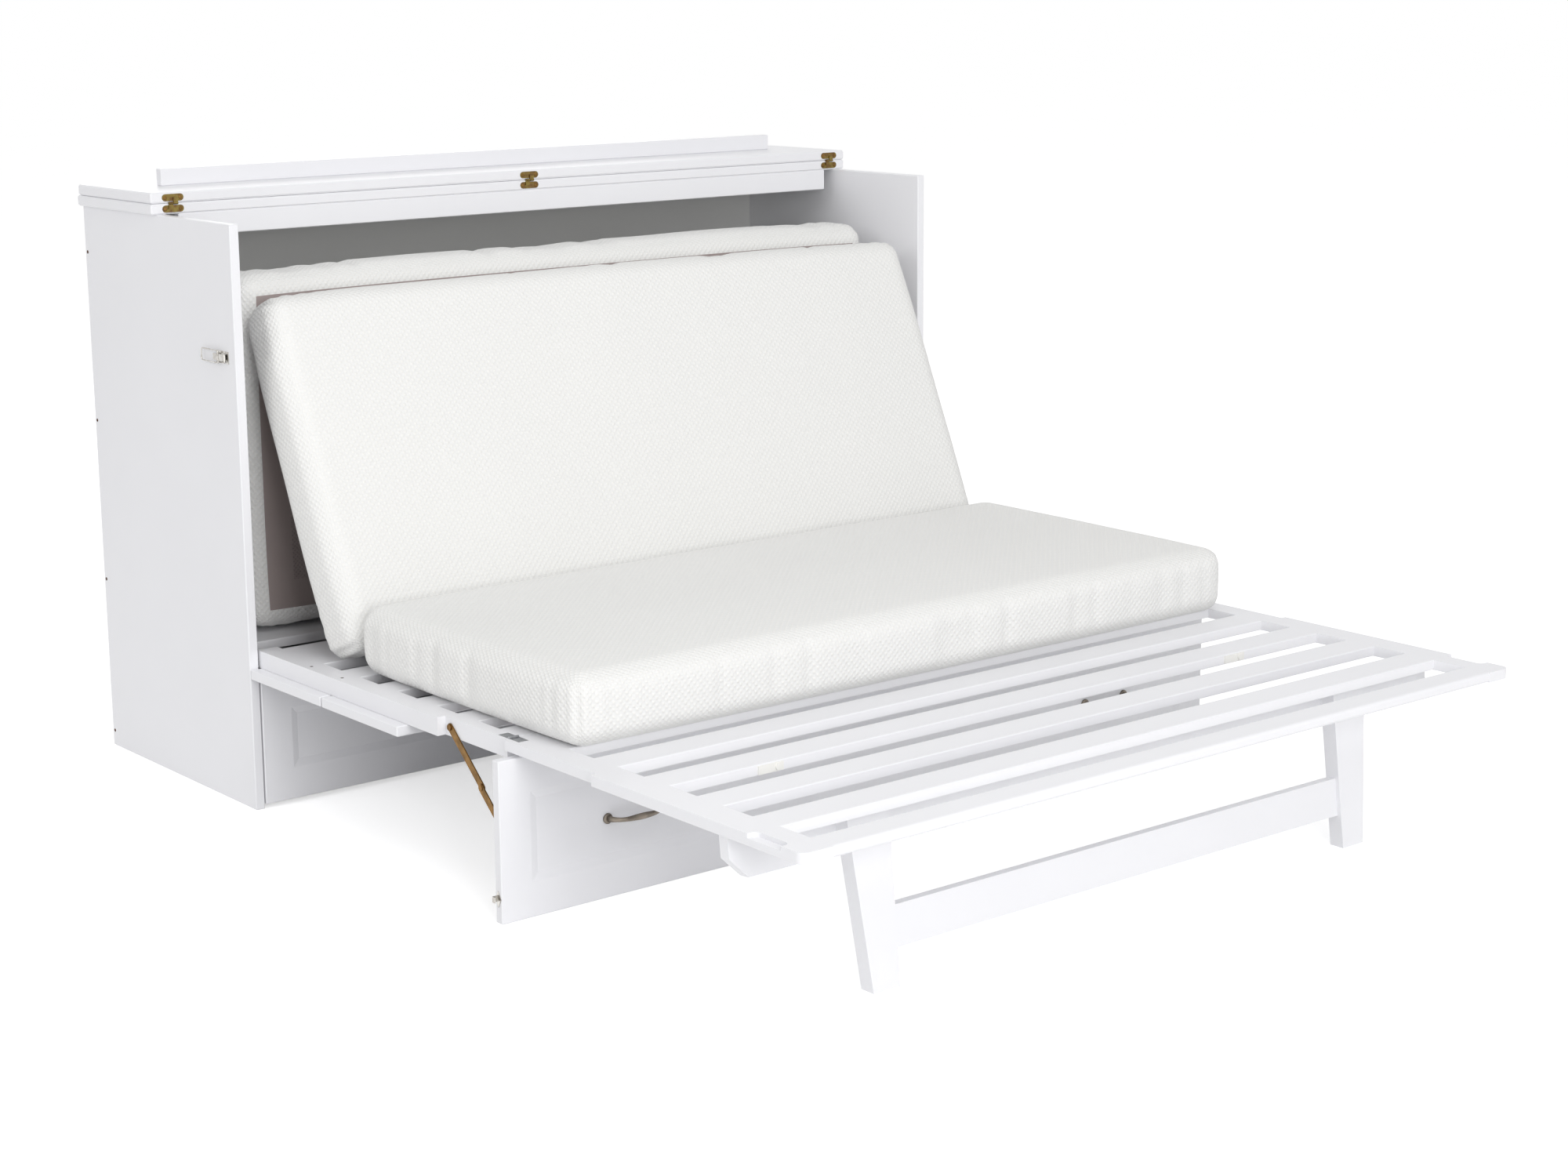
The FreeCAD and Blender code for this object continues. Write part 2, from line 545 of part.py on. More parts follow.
# ---------------------------------------------------------------- middle frame
def mid_rail():
    """Side rail: wide next to the cabinet, narrow where the stay folds beside it, round at the pivot."""
    nose_radius = DECK_TOP_Z - PIVOT_Z - PIVOT_NOSE_CLEAR
    wide = block(-FRAME_HALF, -MID_CROSS_HALF, MID_WIDE_END_Y, PIVOT_Y, RAIL_BOTTOM_Z, DECK_TOP_Z)
    narrow = block(-MID_NARROW_HALF, -MID_CROSS_HALF, MID_FRONT_Y, MID_WIDE_END_Y, RAIL_BOTTOM_Z, DECK_TOP_Z)
    centre = Vector(-FRAME_HALF, PIVOT_Y, PIVOT_Z)
    nose = Part.makeCylinder(nose_radius, MID_RAIL_WIDTH, centre, X_AXIS)
    nose = nose.common(block(-HALF, 0, PIVOT_Y - HALF, PIVOT_Y + HALF, RAIL_BOTTOM_Z, DECK_TOP_Z))
    shape = wide.fuse([narrow, nose]).removeSplitter()
    shape = shape.cut(bore(PIVOT_PIN_RADIUS + PIVOT_RUNNING, centre, X_AXIS, PIVOT_PIN_IN_RAIL + 1))
    z = DECK_TOP_Z + DECK_SCREW_PROUD - SCREW_HEAD_HEIGHT
    for y in DECK_SCREWS_Y:
        shape = shape.cut(rod(SCREW_HEAD_RADIUS + PRESS_GAP, Vector(-DECK_SCREW_X, y, z), Z_AXIS, BOARD))
    return shape.cut(fold_hinge_seat())


def mid_rear_board():
    return long_board(-MID_CROSS_HALF, MID_CROSS_HALF, MID_REAR_BOARD_Y - MID_REAR_BOARD_WIDTH,
                      MID_REAR_BOARD_Y, SLAT_BOTTOM_Z, DECK_TOP_Z)


def mid_front_rail():
    return long_board(-MID_CROSS_HALF, MID_CROSS_HALF, MID_FRONT_Y, MID_FRONT_Y + MID_FRONT_RAIL,
                      SLAT_BOTTOM_Z, DECK_TOP_Z)


def slats(first_y, last_y, count, half):
    """Slats spread evenly between two rails."""
    gap = (last_y - first_y - count * SLAT_WIDTH) / (count + 1)
    pieces = []
    for n in range(count):
        y = first_y + gap + n * (SLAT_WIDTH + gap)
        pieces.append(long_board(-half, half, y, y + SLAT_WIDTH, SLAT_BOTTOM_Z, DECK_TOP_Z))
    return Part.makeCompound(pieces)


def mid_slats():
    return slats(MID_FRONT_Y + MID_FRONT_RAIL, MID_REAR_BOARD_Y - MID_REAR_BOARD_WIDTH, MID_SLATS, MID_CROSS_HALF)


def overlay_panel(y_front, y_rear):
    """A front panel of the closed cabinet, lying face down under the middle frame."""
    upright = sunk_panel(-HALF, HALF, 0, 0, y_rear - y_front)
    upright.rotate(Vector(0, 0, 0), X_AXIS, 90)
    upright.translate(Vector(0, y_rear, OVERLAY_BOTTOM_Z))
    return upright


def overlay_panel_low():
    return overlay_panel(OVERLAY_SEAM_Y + OVERLAY_SEAM_GAP / 2, OVERLAY_REAR_Y)


def overlay_panel_high():
    return overlay_panel(OVERLAY_FRONT_Y, OVERLAY_SEAM_Y - OVERLAY_SEAM_GAP / 2)


def deck_screws():
    """Brown screws through the side rails into the overlay panels, their heads sunk in the rails."""
    z = DECK_TOP_Z + DECK_SCREW_PROUD - SCREW_HEAD_HEIGHT
    return both_sides(Part.makeCompound([screw_head((-DECK_SCREW_X, y, z), Z_AXIS) for y in DECK_SCREWS_Y]))


def fold_hinge(x):
    """Hinge that joins the two frames, let in flush on top of their rails."""
    low = -FOOT_AXIS_LIFT - HINGE_SHEET
    return butt_hinge(x, FOOT_AXIS_Y, FOOT_AXIS_Z, FOLD_HINGE_WIDTH, FOLD_KNUCKLE_RADIUS, FOLD_PIN_RADIUS,
                      [(0.0, HINGE_LEAF, low, -FOOT_AXIS_LIFT)], [(-HINGE_LEAF, 0.0, low, -FOOT_AXIS_LIFT)])


def fold_hinge_seat():
    """Recess for the hinge in the ends of both left rails."""
    half = FOLD_HINGE_WIDTH / 2 + KNUCKLE_CLEAR
    leaf = block(-FOLD_HINGE_X - half, -FOLD_HINGE_X + half, FOOT_AXIS_Y - HINGE_LEAF, FOOT_AXIS_Y + HINGE_LEAF,
                 DECK_TOP_Z - HINGE_SHEET, DECK_TOP_Z + 1)
    start = Vector(-FOLD_HINGE_X - half, FOOT_AXIS_Y, FOOT_AXIS_Z)
    return leaf.fuse(bore(FOLD_KNUCKLE_RADIUS + KNUCKLE_CLEAR, start, X_AXIS, 2 * half))


# ---------------------------------------------------------------- folding front flap
def flap_panel():
    return sunk_panel(-HALF, HALF, FLAP_FRONT_Y, 0, FLAP_TOP_Z)


def flap_hinge(x):
    """Hinge between the middle frame's front rail and the back of the flap."""
    under = SLAT_BOTTOM_Z - FLAP_AXIS_Z
    rail = MID_FRONT_Y - FLAP_AXIS_Y
    back = FLAP_BACK_Y - FLAP_AXIS_Y
    frame_leaf = [(rail - HINGE_SHEET, HINGE_LEAF, under - HINGE_SHEET, under), (0.0, HINGE_SHEET, 0.0, under)]
    flap_leaf = [(back, back + HINGE_SHEET, -HINGE_LEAF, -FLAP_TOP_CLEAR),
                 (back, 0.0, -FLAP_TOP_CLEAR - HINGE_SHEET, -FLAP_TOP_CLEAR)]
    return butt_hinge(x, FLAP_AXIS_Y, FLAP_AXIS_Z, FLAP_HINGE_WIDTH, FLAP_KNUCKLE_RADIUS, HINGE_PIN_RADIUS,
                      frame_leaf, flap_leaf)


def flap_handle(centre):
    """A bow handle: a bar that swells in the middle and curves back to two feet on the sunk field."""
    half = HANDLE_LENGTH / 2
    bend = half - HANDLE_SHOULDER
    seat = FLAP_FRONT_Y + PANEL_SUNK
    bar_y = seat - HANDLE_REACH
    points = [(centre - half, seat), (centre - bend, bar_y + HANDLE_RADIUS), (centre, bar_y),
              (centre + bend, bar_y + HANDLE_RADIUS), (centre + half, seat)]
    spine = Part.BSplineCurve()
    spine.interpolate([Vector(x, y, HANDLE_Z) for x, y in points])
    rings = []
    for share, swell in HANDLE_SWELL:
        u = spine.FirstParameter + share * (spine.LastParameter - spine.FirstParameter)
        across = Vector(*spine.tangent(u)[0]).cross(Z_AXIS)
        rings.append(ring(spine.value(u), across, Z_AXIS, HANDLE_RADIUS * swell))
    bar = Part.makeLoft(rings, True, True)
    feet = [rod(HANDLE_FOOT, Vector(centre + s * half, seat - HANDLE_FOOT_THICK, HANDLE_Z), Y_AXIS,
                HANDLE_FOOT_THICK) for s in (-1, 1)]
    behind = block(centre - HANDLE_LENGTH, centre + HANDLE_LENGTH, seat, FLAP_BACK_Y, HANDLE_Z - HANDLE_CUT,
                   HANDLE_Z + HANDLE_CUT)
    return bar.fuse(feet).cut(behind).removeSplitter()


def flap_catch():
    """A diamond plate on the flap's edge with the hook that the latch's bail goes behind."""
    y = (FLAP_FRONT_Y + FLAP_BACK_Y) / 2
    diamond = outline([(-HALF, y - CATCH_HALF_WIDTH, CATCH_Z), (-HALF, y, CATCH_Z - CATCH_HALF_HEIGHT),
                       (-HALF, y + CATCH_HALF_WIDTH, CATCH_Z), (-HALF, y, CATCH_Z + CATCH_HALF_HEIGHT)],
                      X_AXIS * -CATCH_SHEET)
    wire_y = BAIL_PIN_Y - BAIL_REACH - SWING
    lip_y = wire_y + BAIL_WIRE + HOOK_LIP_CLEAR
    tip_x = LATCH_X - BAIL_WIRE - HOOK_TIP_CLEAR
    z0 = CATCH_Z - HOOK_HALF_HEIGHT
    z1 = CATCH_Z + HOOK_HALF_HEIGHT
    lip = block(tip_x - CATCH_SHEET, -HALF - CATCH_SHEET, lip_y, lip_y + CATCH_SHEET, z0, z1)
    hook = block(tip_x - CATCH_SHEET, tip_x, wire_y - HOOK_REACH, lip_y, z0, z1)
    return diamond.fuse([lip, hook]).removeSplitter()


def stay_points():
    """Pivots of the stay on the frame and on the flap, and the knee: open it is straight, shut it is level."""
    frame = Vector(0, STAY_FRAME_Y, STAY_FRAME_Z)
    flap = Vector(0, STAY_FLAP_Y, STAY_FLAP_Z)
    open_span = (flap - frame).Length
    shut_span = STAY_FRAME_Y - (FLAP_AXIS_Y + FLAP_AXIS_Z - STAY_FLAP_Z)
    upper = (open_span + shut_span) / 2
    return frame, flap, frame + (flap - frame) * (upper / open_span)


def link(start, end, x, holes):
    """A flat bar with round ends between two pivots, its outer face at x."""
    along = end - start
    along.normalize()
    across = X_AXIS.cross(along)
    flats = ROUND_SIDES // 2
    points = []
    for pivot, way in ((end, 1), (start, -1)):
        for n in range(flats + 1):
            turn = math.pi * n / flats
            points.append(pivot + (across * math.cos(turn) + along * math.sin(turn)) * (way * STAY_WIDTH / 2))
    bar = outline([(x, p.y, p.z) for p in points], X_AXIS * STAY_THICK)
    bores = [bore(STAY_RIVET_RADIUS + HINGE_RUNNING, Vector(x - 1, p.y, p.z), X_AXIS, STAY_THICK + 2) for p in holes]
    return bar.cut(Part.makeCompound(bores))


def stay_upper_link():
    frame, flap, knee = stay_points()
    stub = rod(STAY_RIVET_RADIUS, Vector(STAY_UPPER_X - STAY_GAP / 2, knee.y, knee.z), X_AXIS, STAY_GAP / 2)
    return link(frame, knee, STAY_UPPER_X, [frame]).fuse(stub).removeSplitter()


def stay_lower_link():
    frame, flap, knee = stay_points()
    head = rod(STAY_HEAD_RADIUS, Vector(STAY_LOWER_X - SCREW_HEAD_HEIGHT, knee.y, knee.z), X_AXIS, SCREW_HEAD_HEIGHT)
    return link(knee, flap, STAY_LOWER_X, [flap]).fuse(head).removeSplitter()


def stay_frame_bolts():
    """Shoulder bolts in the frame's rails on which the stays turn."""
    frame, flap, knee = stay_points()
    reach = STAY_THICK + 1.5 * STAY_GAP
    shank = rod(STAY_RIVET_RADIUS, Vector(-MID_NARROW_HALF - reach, frame.y, frame.z), X_AXIS, reach)
    head = rod(STAY_HEAD_RADIUS, Vector(-MID_NARROW_HALF - reach - BRACKET_SHEET, frame.y, frame.z), X_AXIS,
               BRACKET_SHEET)
    return both_sides(shank.fuse(head).removeSplitter())


def stay_flap_brackets():
    """Angles on the back of the flap, each with the pin for the stay's lower end."""
    frame, flap, knee = stay_points()
    x = STAY_LOWER_X - STAY_GAP
    z0 = flap.z - BRACKET_HEIGHT / 2
    z1 = flap.z + BRACKET_HEIGHT / 2
    ear = block(x - BRACKET_SHEET, x, FLAP_BACK_Y, flap.y + STAY_WIDTH / 2, z0, z1)
    foot = block(x - BRACKET_FOOT, x, FLAP_BACK_Y, FLAP_BACK_Y + BRACKET_SHEET, z0, z1)
    pin_end = STAY_LOWER_X + STAY_THICK + STAY_GAP / 2
    pin = rod(STAY_RIVET_RADIUS, Vector(x - BRACKET_SHEET, flap.y, flap.z), X_AXIS, pin_end - x + BRACKET_SHEET)
    head = rod(STAY_HEAD_RADIUS, Vector(x - 2 * BRACKET_SHEET, flap.y, flap.z), X_AXIS, BRACKET_SHEET)
    return both_sides(ear.fuse([foot, pin, head]).removeSplitter())


# ---------------------------------------------------------------- foot frame
def foot_rail():
    """Side rail, stepped out past its first third, with a round corner and a grip at the foot."""
    step_y = FOOT_REAR_Y - FOOT_NARROW_LENGTH
    wide = block(-FRAME_HALF, -FOOT_CROSS_HALF, FOOT_FRONT_Y, step_y, SLAT_BOTTOM_Z, DECK_TOP_Z)
    corner = [e for e in wide.Edges if abs(e.tangentAt(e.FirstParameter).z) > 0.9
              and e.CenterOfMass.x < -FRAME_HALF + 1 and e.CenterOfMass.y < FOOT_FRONT_Y + 1]
    wide = wide.makeFillet(FOOT_CORNER_ROUND, corner)
    narrow = block(-FOOT_NARROW_HALF, -FOOT_CROSS_HALF, step_y, FOOT_REAR_Y, SLAT_BOTTOM_Z, DECK_TOP_Z)
    y = FOOT_FRONT_Y + GRIP_FROM_FRONT
    grip = block(-FRAME_HALF - 1, -FRAME_HALF + GRIP_WIDTH, y, y + GRIP_LENGTH, DECK_TOP_Z - GRIP_DEPTH,
                 DECK_TOP_Z + 1)
    ends = [e for e in grip.Edges if abs(e.tangentAt(e.FirstParameter).z) > 0.9
            and e.CenterOfMass.x > -FRAME_HALF]
    grip = grip.makeFillet(GRIP_ROUND, ends)
    return wide.fuse(narrow).removeSplitter().cut(grip).cut(fold_hinge_seat())


def foot_front_rail():
    """Rail at the foot with a bull-nosed outer edge."""
    shape = block(-FOOT_CROSS_HALF, FOOT_CROSS_HALF, FOOT_FRONT_Y, FOOT_FRONT_Y + FOOT_FRONT_RAIL,
                  SLAT_BOTTOM_Z, DECK_TOP_Z)
    nose = [e for e in shape.Edges if abs(e.tangentAt(e.FirstParameter).x) > 0.9
            and e.CenterOfMass.y < FOOT_FRONT_Y + 1]
    return shape.makeFillet(FOOT_NOSE_ROUND, nose)


def foot_rear_rail():
    return long_board(-FOOT_CROSS_HALF, FOOT_CROSS_HALF, FOOT_SLAT_END_Y, FOOT_REAR_Y, SLAT_BOTTOM_Z, DECK_TOP_Z)


def foot_slats():
    return slats(FOOT_FRONT_Y + FOOT_FRONT_RAIL, FOOT_SLAT_END_Y, FOOT_SLATS, FOOT_CROSS_HALF)


def slat_clips():
    """Small moulded clips screwed to the third slat's front edge, which hold the mattress."""
    y = FOOT_FRONT_Y + FOOT_FRONT_RAIL + 3 * SLAT_GAP + 2 * SLAT_WIDTH
    top = DECK_TOP_Z - CLIP_DROP
    pieces = []
    for x in CLIPS_X:
        plate = block(x - CLIP_LENGTH / 2, x + CLIP_LENGTH / 2, y - CLIP_THICK, y, top - CLIP_HEIGHT, top)
        boss = rod(CLIP_BOSS, Vector(x + CLIP_LENGTH / 4, y - 2 * CLIP_THICK, top - CLIP_HEIGHT / 2), Y_AXIS,
                   2 * CLIP_THICK)
        pieces.append(plate.fuse(boss).removeSplitter())
    return Part.makeCompound(pieces)


# ---------------------------------------------------------------- leg frame
def leg_hinge(x):
    """Hinge under the foot frame's side rail, its lower leaf on the leg frame's rail."""
    under = SLAT_BOTTOM_Z - LEG_AXIS_Z
    return butt_hinge(x, LEG_AXIS_Y, LEG_AXIS_Z, LEG_HINGE_WIDTH, LEG_KNUCKLE_RADIUS, HINGE_PIN_RADIUS,
                      [(0.0, HINGE_LEAF, under - HINGE_SHEET, under)],
                      [(-LEG_KNUCKLE_OFFSET, -LEG_KNUCKLE_OFFSET + HINGE_SHEET, -HINGE_LEAF, 0.0)])


def leaned(shape):
    """Feet forward about the hinge."""
    return turned(shape, LEG_AXIS_Y, LEG_AXIS_Z, -LEG_LEAN)


def trimmed(shape):
    """Leaned, then cut level below the foot frame and at the floor."""
    room = block(-HALF, HALF, FOOT_FRONT_Y, FOOT_REAR_Y, 0, LEG_TOP_Z)
    return leaned(shape).common(room)


def leg_rail():
    """Upper rail of the leg frame, with cut-back corners; its rear top edge is hinged to the foot frame."""
    y1 = LEG_AXIS_Y - LEG_KNUCKLE_OFFSET
    y0 = y1 - LEG_RAIL_THICK
    top = LEG_AXIS_Z + LEG_TRIM
    low = LEG_TOP_Z - LEG_RAIL_HEIGHT
    half = LEG_RAIL_HALF
    cut = LEG_RAIL_CHAMFER
    shape = outline([(-half, y0, top), (half, y0, top), (half, y0, low + cut), (half - cut, y0, low),
                     (-half + cut, y0, low), (-half, y0, low + cut)], Vector(0, y1 - y0, 0))
    return trimmed(shape)


def leg_blank(side):
    """A board that tapers towards the foot, before the lean."""
    y0 = LEG_AXIS_Y - LEG_KNUCKLE_OFFSET - LEG_RAIL_THICK - LEG_THICK
    top = LEG_AXIS_Z + LEG_TRIM
    return outline([(side * LEG_OUTER_TOP, y0, top), (side * LEG_INNER_TOP, y0, top),
                    (side * LEG_INNER_FOOT, y0, -LEG_TRIM), (side * LEG_OUTER_FOOT, y0, -LEG_TRIM)],
                   Vector(0, LEG_THICK, 0))


def leg():
    return trimmed(leg_blank(-1))


def leg_stretcher():
    """Board between the legs, flush with their rear faces."""
    y1 = LEG_AXIS_Y - LEG_KNUCKLE_OFFSET - LEG_RAIL_THICK
    shape = block(-LEG_OUTER_FOOT, LEG_OUTER_FOOT, y1 - STRETCHER_THICK, y1, STRETCHER_Z,
                  STRETCHER_Z + STRETCHER_HEIGHT)
    between = shape.cut(leg_blank(-1)).cut(leg_blank(1))
    middle = [s for s in between.Solids if abs(s.CenterOfMass.x) < 1]
    return leaned(middle[0])


# ---------------------------------------------------------------- mattress
def cushion_section(x, inset):
    """Section across a foam part: flat below, crowned above, its two edges bowed between rounded corners."""
    draw = MATTRESS_BOW * (2 * x / MATTRESS_WIDTH) ** 2
    y0 = MATTRESS_BOW + draw + inset
    y1 = MATTRESS_SECTION - y0
    z0 = inset
    z1 = MATTRESS_THICK - MATTRESS_CROWN - draw - inset
    r = max(MATTRESS_ROUND - inset, MATTRESS_LEAST_ROUND)
    k = r * (1 - math.sqrt(0.5))
    middle_y = MATTRESS_SECTION / 2
    middle_z = (z0 + z1) / 2
    run = [(y0 + r, z0), None, (y1 - r, z0), (y1 - k, z0 + k), (y1, z0 + r), (y1 + MATTRESS_BOW, middle_z),
           (y1, z1 - r), (y1 - k, z1 - k), (y1 - r, z1), (middle_y, z1 + MATTRESS_CROWN), (y0 + r, z1),
           (y0 + k, z1 - k), (y0, z1 - r), (y0 - MATTRESS_BOW, middle_z), (y0, z0 + r), (y0 + k, z0 + k),
           (y0 + r, z0)]
    edges = []
    for n in range(0, len(run) - 1, 2):
        a, b, c = (Vector(x, *p) if p else None for p in run[n:n + 3])
        edges.append(Part.Arc(a, b, c).toShape() if b else Part.makeLine(a, c))
    return Part.Wire(edges)


def cushion():
    """A foam part lying on its flat underside, rounded towards its ends and drawn in at its corners."""
    straight = MATTRESS_WIDTH / 2 - MATTRESS_ROUND
    stations = [(share * straight, 0.0) for share in (-0.5, 0.0, 0.5)]
    for turn in (0, 30, 60, 90):
        x = straight + MATTRESS_ROUND * math.sin(math.radians(turn))
        inset = MATTRESS_ROUND * (1 - math.cos(math.radians(turn)))
        stations += [(-x, inset), (x, inset)]
    return Part.makeLoft([cushion_section(*station) for station in sorted(stations)], True, True)


def dropped(shape, z):
    """Set down so that its lowest point is at z."""
    shape.translate(Vector(0, 0, z - shape.optimalBoundingBox(False).ZMin))
    return shape


def pushed_back(shape, neighbour, gap):
    """Brought along Y to a small gap behind its neighbour."""
    shape.translate(Vector(0, neighbour.BoundBox.YMax + 2 * MATTRESS_SECTION - shape.BoundBox.YMin, 0))
    for _ in range(3):
        shape.translate(Vector(0, gap - shape.distToShape(neighbour)[0], 0))
    return shape


def mattress():
    """The three sections as they stand in the bed: flat, leaning back, and upright against the leaning one."""
    blank = cushion()
    front = blank.copy()
    front.translate(Vector(0, MATTRESS_FRONT_Y, DECK_TOP_Z + MATTRESS_GAP))
    middle = turned(blank, 0, 0, 90 - LEAN_BACK)
    middle = pushed_back(dropped(middle, DECK_TOP_Z + MATTRESS_GAP), front, SECTION_GAP)
    rear = turned(blank, 0, 0, 90)
    rear.rotate(Vector(0, 0, 0), Z_AXIS, 180)
    rear = dropped(rear, DECK_TOP_Z - INNER_DECK_DROP + MATTRESS_GAP)
    rear = pushed_back(rear, middle, SECTION_GAP)
    return front, middle, rear


# ---------------------------------------------------------------- latches
def latch_base():
    """Plate of the draw latch on the side of the cabinet, with two ears for the lever."""
    half = LATCH_PLATE_HEIGHT / 2
    plate = block(-HALF - LATCH_PLATE_THICK, -HALF, LATCH_FRONT_Y, LATCH_FRONT_Y + LATCH_PLATE_LENGTH,
                  LATCH_Z - half, LATCH_Z + half)
    inner = LATCH_LEVER_HALF + LATCH_EAR_GAP
    outer = inner + LATCH_EAR_THICK
    ears = []
    for z in (LATCH_Z - outer, LATCH_Z + inner):
        ears.append(block(LATCH_X - LATCH_EYE_RADIUS, -HALF - LATCH_PLATE_THICK, LATCH_PIN_Y - LATCH_EAR_HALF,
                          LATCH_PIN_Y + LATCH_EAR_HALF, z, z + LATCH_EAR_THICK))
    pin = rod(LATCH_PIN_RADIUS, Vector(LATCH_X, LATCH_PIN_Y, LATCH_Z - outer), Z_AXIS, 2 * outer)
    return plate.fuse(ears + [pin]).removeSplitter()


def latch_lever():
    """Lever of the latch, thrown back flat on the plate, with an eye for the bail."""
    z0 = LATCH_Z - LATCH_LEVER_HALF
    height = 2 * LATCH_LEVER_HALF
    flat = LATCH_TONGUE_THICK / 2
    eyes = [rod(LATCH_EYE_RADIUS, Vector(LATCH_X, y, z0), Z_AXIS, height) for y in (LATCH_PIN_Y, BAIL_PIN_Y)]
    tongue = block(LATCH_X - flat, LATCH_X + flat, LATCH_PIN_Y, LATCH_PIN_Y + LATCH_LEVER_LENGTH, z0, z0 + height)
    shape = eyes[0].fuse([eyes[1], tongue]).removeSplitter()
    pin_bore = bore(LATCH_PIN_RADIUS + HINGE_RUNNING, Vector(LATCH_X, LATCH_PIN_Y, z0 - 1), Z_AXIS, height + 2)
    bail_bore = bore(BAIL_WIRE + HINGE_RUNNING, Vector(LATCH_X, BAIL_PIN_Y, z0 - 1), Z_AXIS, height + 2)
    return shape.cut(pin_bore).cut(bail_bore)


def latch_bail():
    """Wire loop that goes over the flap's hook, thrown back beside the lever."""
    low = LATCH_Z - BAIL_HALF
    across = 2 * (BAIL_HALF + BAIL_WIRE)
    along = BAIL_REACH + 2 * BAIL_WIRE
    wires = [rod(BAIL_WIRE, Vector(LATCH_X, y, low - BAIL_WIRE), Z_AXIS, across)
             for y in (BAIL_PIN_Y, BAIL_PIN_Y + BAIL_REACH)]
    wires += [rod(BAIL_WIRE, Vector(LATCH_X, BAIL_PIN_Y - BAIL_WIRE, z), Y_AXIS, along)
              for z in (low, low + 2 * BAIL_HALF)]
    return wires[0].fuse(wires[1:]).removeSplitter()


# ---------------------------------------------------------------- nodes
def pieces():
    """Every piece under its name."""
    front, middle, rear = mattress()
    fold_mid, fold_foot = fold_hinge(-FOLD_HINGE_X)
    leg_fixed, leg_moving = leg_hinge(-LEG_HINGE_X)
    flap_hinges = [flap_hinge(x) for x in FLAP_HINGES_X]
    side = side_panel()
    wall = drawer_side()
    mid = mid_rail()
    foot = foot_rail()
    upper = stay_upper_link()
    lower = stay_lower_link()
    left_leg = leg()
    lever = latch_lever()
    bail = latch_bail()
    return {
        "side_panel_left": side,
        "side_panel_right": mirrored(side),
        "back_panel": back_panel(),
        "inner_deck": inner_deck(),
        "pivot_pins": pivot_pins(),
        "cabinet_screws": cabinet_screws(),
        "rear_top": rear_top(),
        "rear_top_cleat": rear_top_cleat(),
        "top_hinge_fixed_leaves": top_hinge_fixed(),
        "drawer_runners": drawer_runners(),
        "latch_bases": both_sides(latch_base()),
        "front_top": front_top(),
        "front_top_cleat": front_top_cleat(),
        "top_hinge_moving_leaves": top_hinge_moving(),
        "drawer_front": drawer_front(),
        "drawer_side_left": wall,
        "drawer_side_right": mirrored(wall),
        "drawer_back": drawer_back(),
        "drawer_base": drawer_base(),
        "drawer_slides": drawer_slides(),
        "mid_rail_left": mid,
        "mid_rail_right": mirrored(mid),
        "mid_rear_board": mid_rear_board(),
        "mid_front_rail": mid_front_rail(),
        "mid_slats": mid_slats(),
        "overlay_panel_low": overlay_panel_low(),
        "overlay_panel_high": overlay_panel_high(),
        "deck_screws": deck_screws(),
        "flap_hinge_frame_leaves": Part.makeCompound([pair[0] for pair in flap_hinges]),
        "fold_hinge_mid_leaves": both_sides(fold_mid),
        "stay_frame_bolts": stay_frame_bolts(),
        "flap_panel": flap_panel(),
        "flap_hinge_leaves": Part.makeCompound([pair[1] for pair in flap_hinges]),
        "flap_handles": both_sides(flap_handle(-HANDLE_CENTRE_X)),
        "flap_catches": both_sides(flap_catch()),
        "stay_flap_brackets": stay_flap_brackets(),
        "stay_upper_link_left": upper,
        "stay_upper_link_right": mirrored(upper),
        "stay_lower_link_left": lower,
        "stay_lower_link_right": mirrored(lower),
        "foot_rail_left": foot,
        "foot_rail_right": mirrored(foot),
        "foot_front_rail": foot_front_rail(),
        "foot_rear_rail": foot_rear_rail(),
        "foot_slats": foot_slats(),
        "fold_hinge_foot_leaves": both_sides(fold_foot),
        "slat_clips": slat_clips(),
        "leg_hinge_frame_leaves": both_sides(leg_fixed),
        "leg_rail": leg_rail(),
        "leg_left": left_leg,
        "leg_right": mirrored(left_leg),
        "leg_stretcher": leg_stretcher(),
        "leg_hinge_leaves": both_sides(leaned(leg_moving)),
        "mattress_front": front,
        "mattress_middle": middle,
        "mattress_rear": rear,
        "latch_lever_left": lever,
        "latch_lever_right": mirrored(lever),
        "latch_bail_left": bail,
        "latch_bail_right": mirrored(bail),
    }


def main():
    os.makedirs("parts", exist_ok=True)
    made = pieces()
    for name, piece in made.items():
        shape = piece.copy()
        shape.translate(Vector(0, -CENTRE_Y, 0))
        shape.exportStep(f"parts/{name}.step")
        if not shape.isValid() or not shape.Solids:
            print("not sound:", name)
    print("nodes", len(made))
    print("shift", -CENTRE_Y)
    print("pivot", PIVOT_Y, PIVOT_Z)
    print("top", TOP_AXIS_Y, TOP_AXIS_Z)
    print("foot", FOOT_AXIS_Y, FOOT_AXIS_Z)
    print("flap", FLAP_AXIS_Y, FLAP_AXIS_Z)
    print("leg", LEG_AXIS_Y, LEG_AXIS_Z)
    print("stay", [(round(p.y, 3), round(p.z, 3)) for p in stay_points()])
    print("latch", LATCH_X, LATCH_PIN_Y, BAIL_PIN_Y, LATCH_Z)
    for name in ("mattress_front", "mattress_middle", "mattress_rear"):
        box = made[name].optimalBoundingBox(False)
        base = made[name].Placement.Base
        print(name, round(box.YMin, 2), round(box.YMax, 2), round(box.ZMin, 2), round(box.ZMax, 2))
        print(f"{name}_at", round(base.y, 4), round(base.z, 4))


main()
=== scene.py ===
"""Finishes, mattress covers, bow handles, latch wires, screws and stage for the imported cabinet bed."""
import json
import math

import bmesh
import bpy
from mathutils import Matrix, Vector, noise


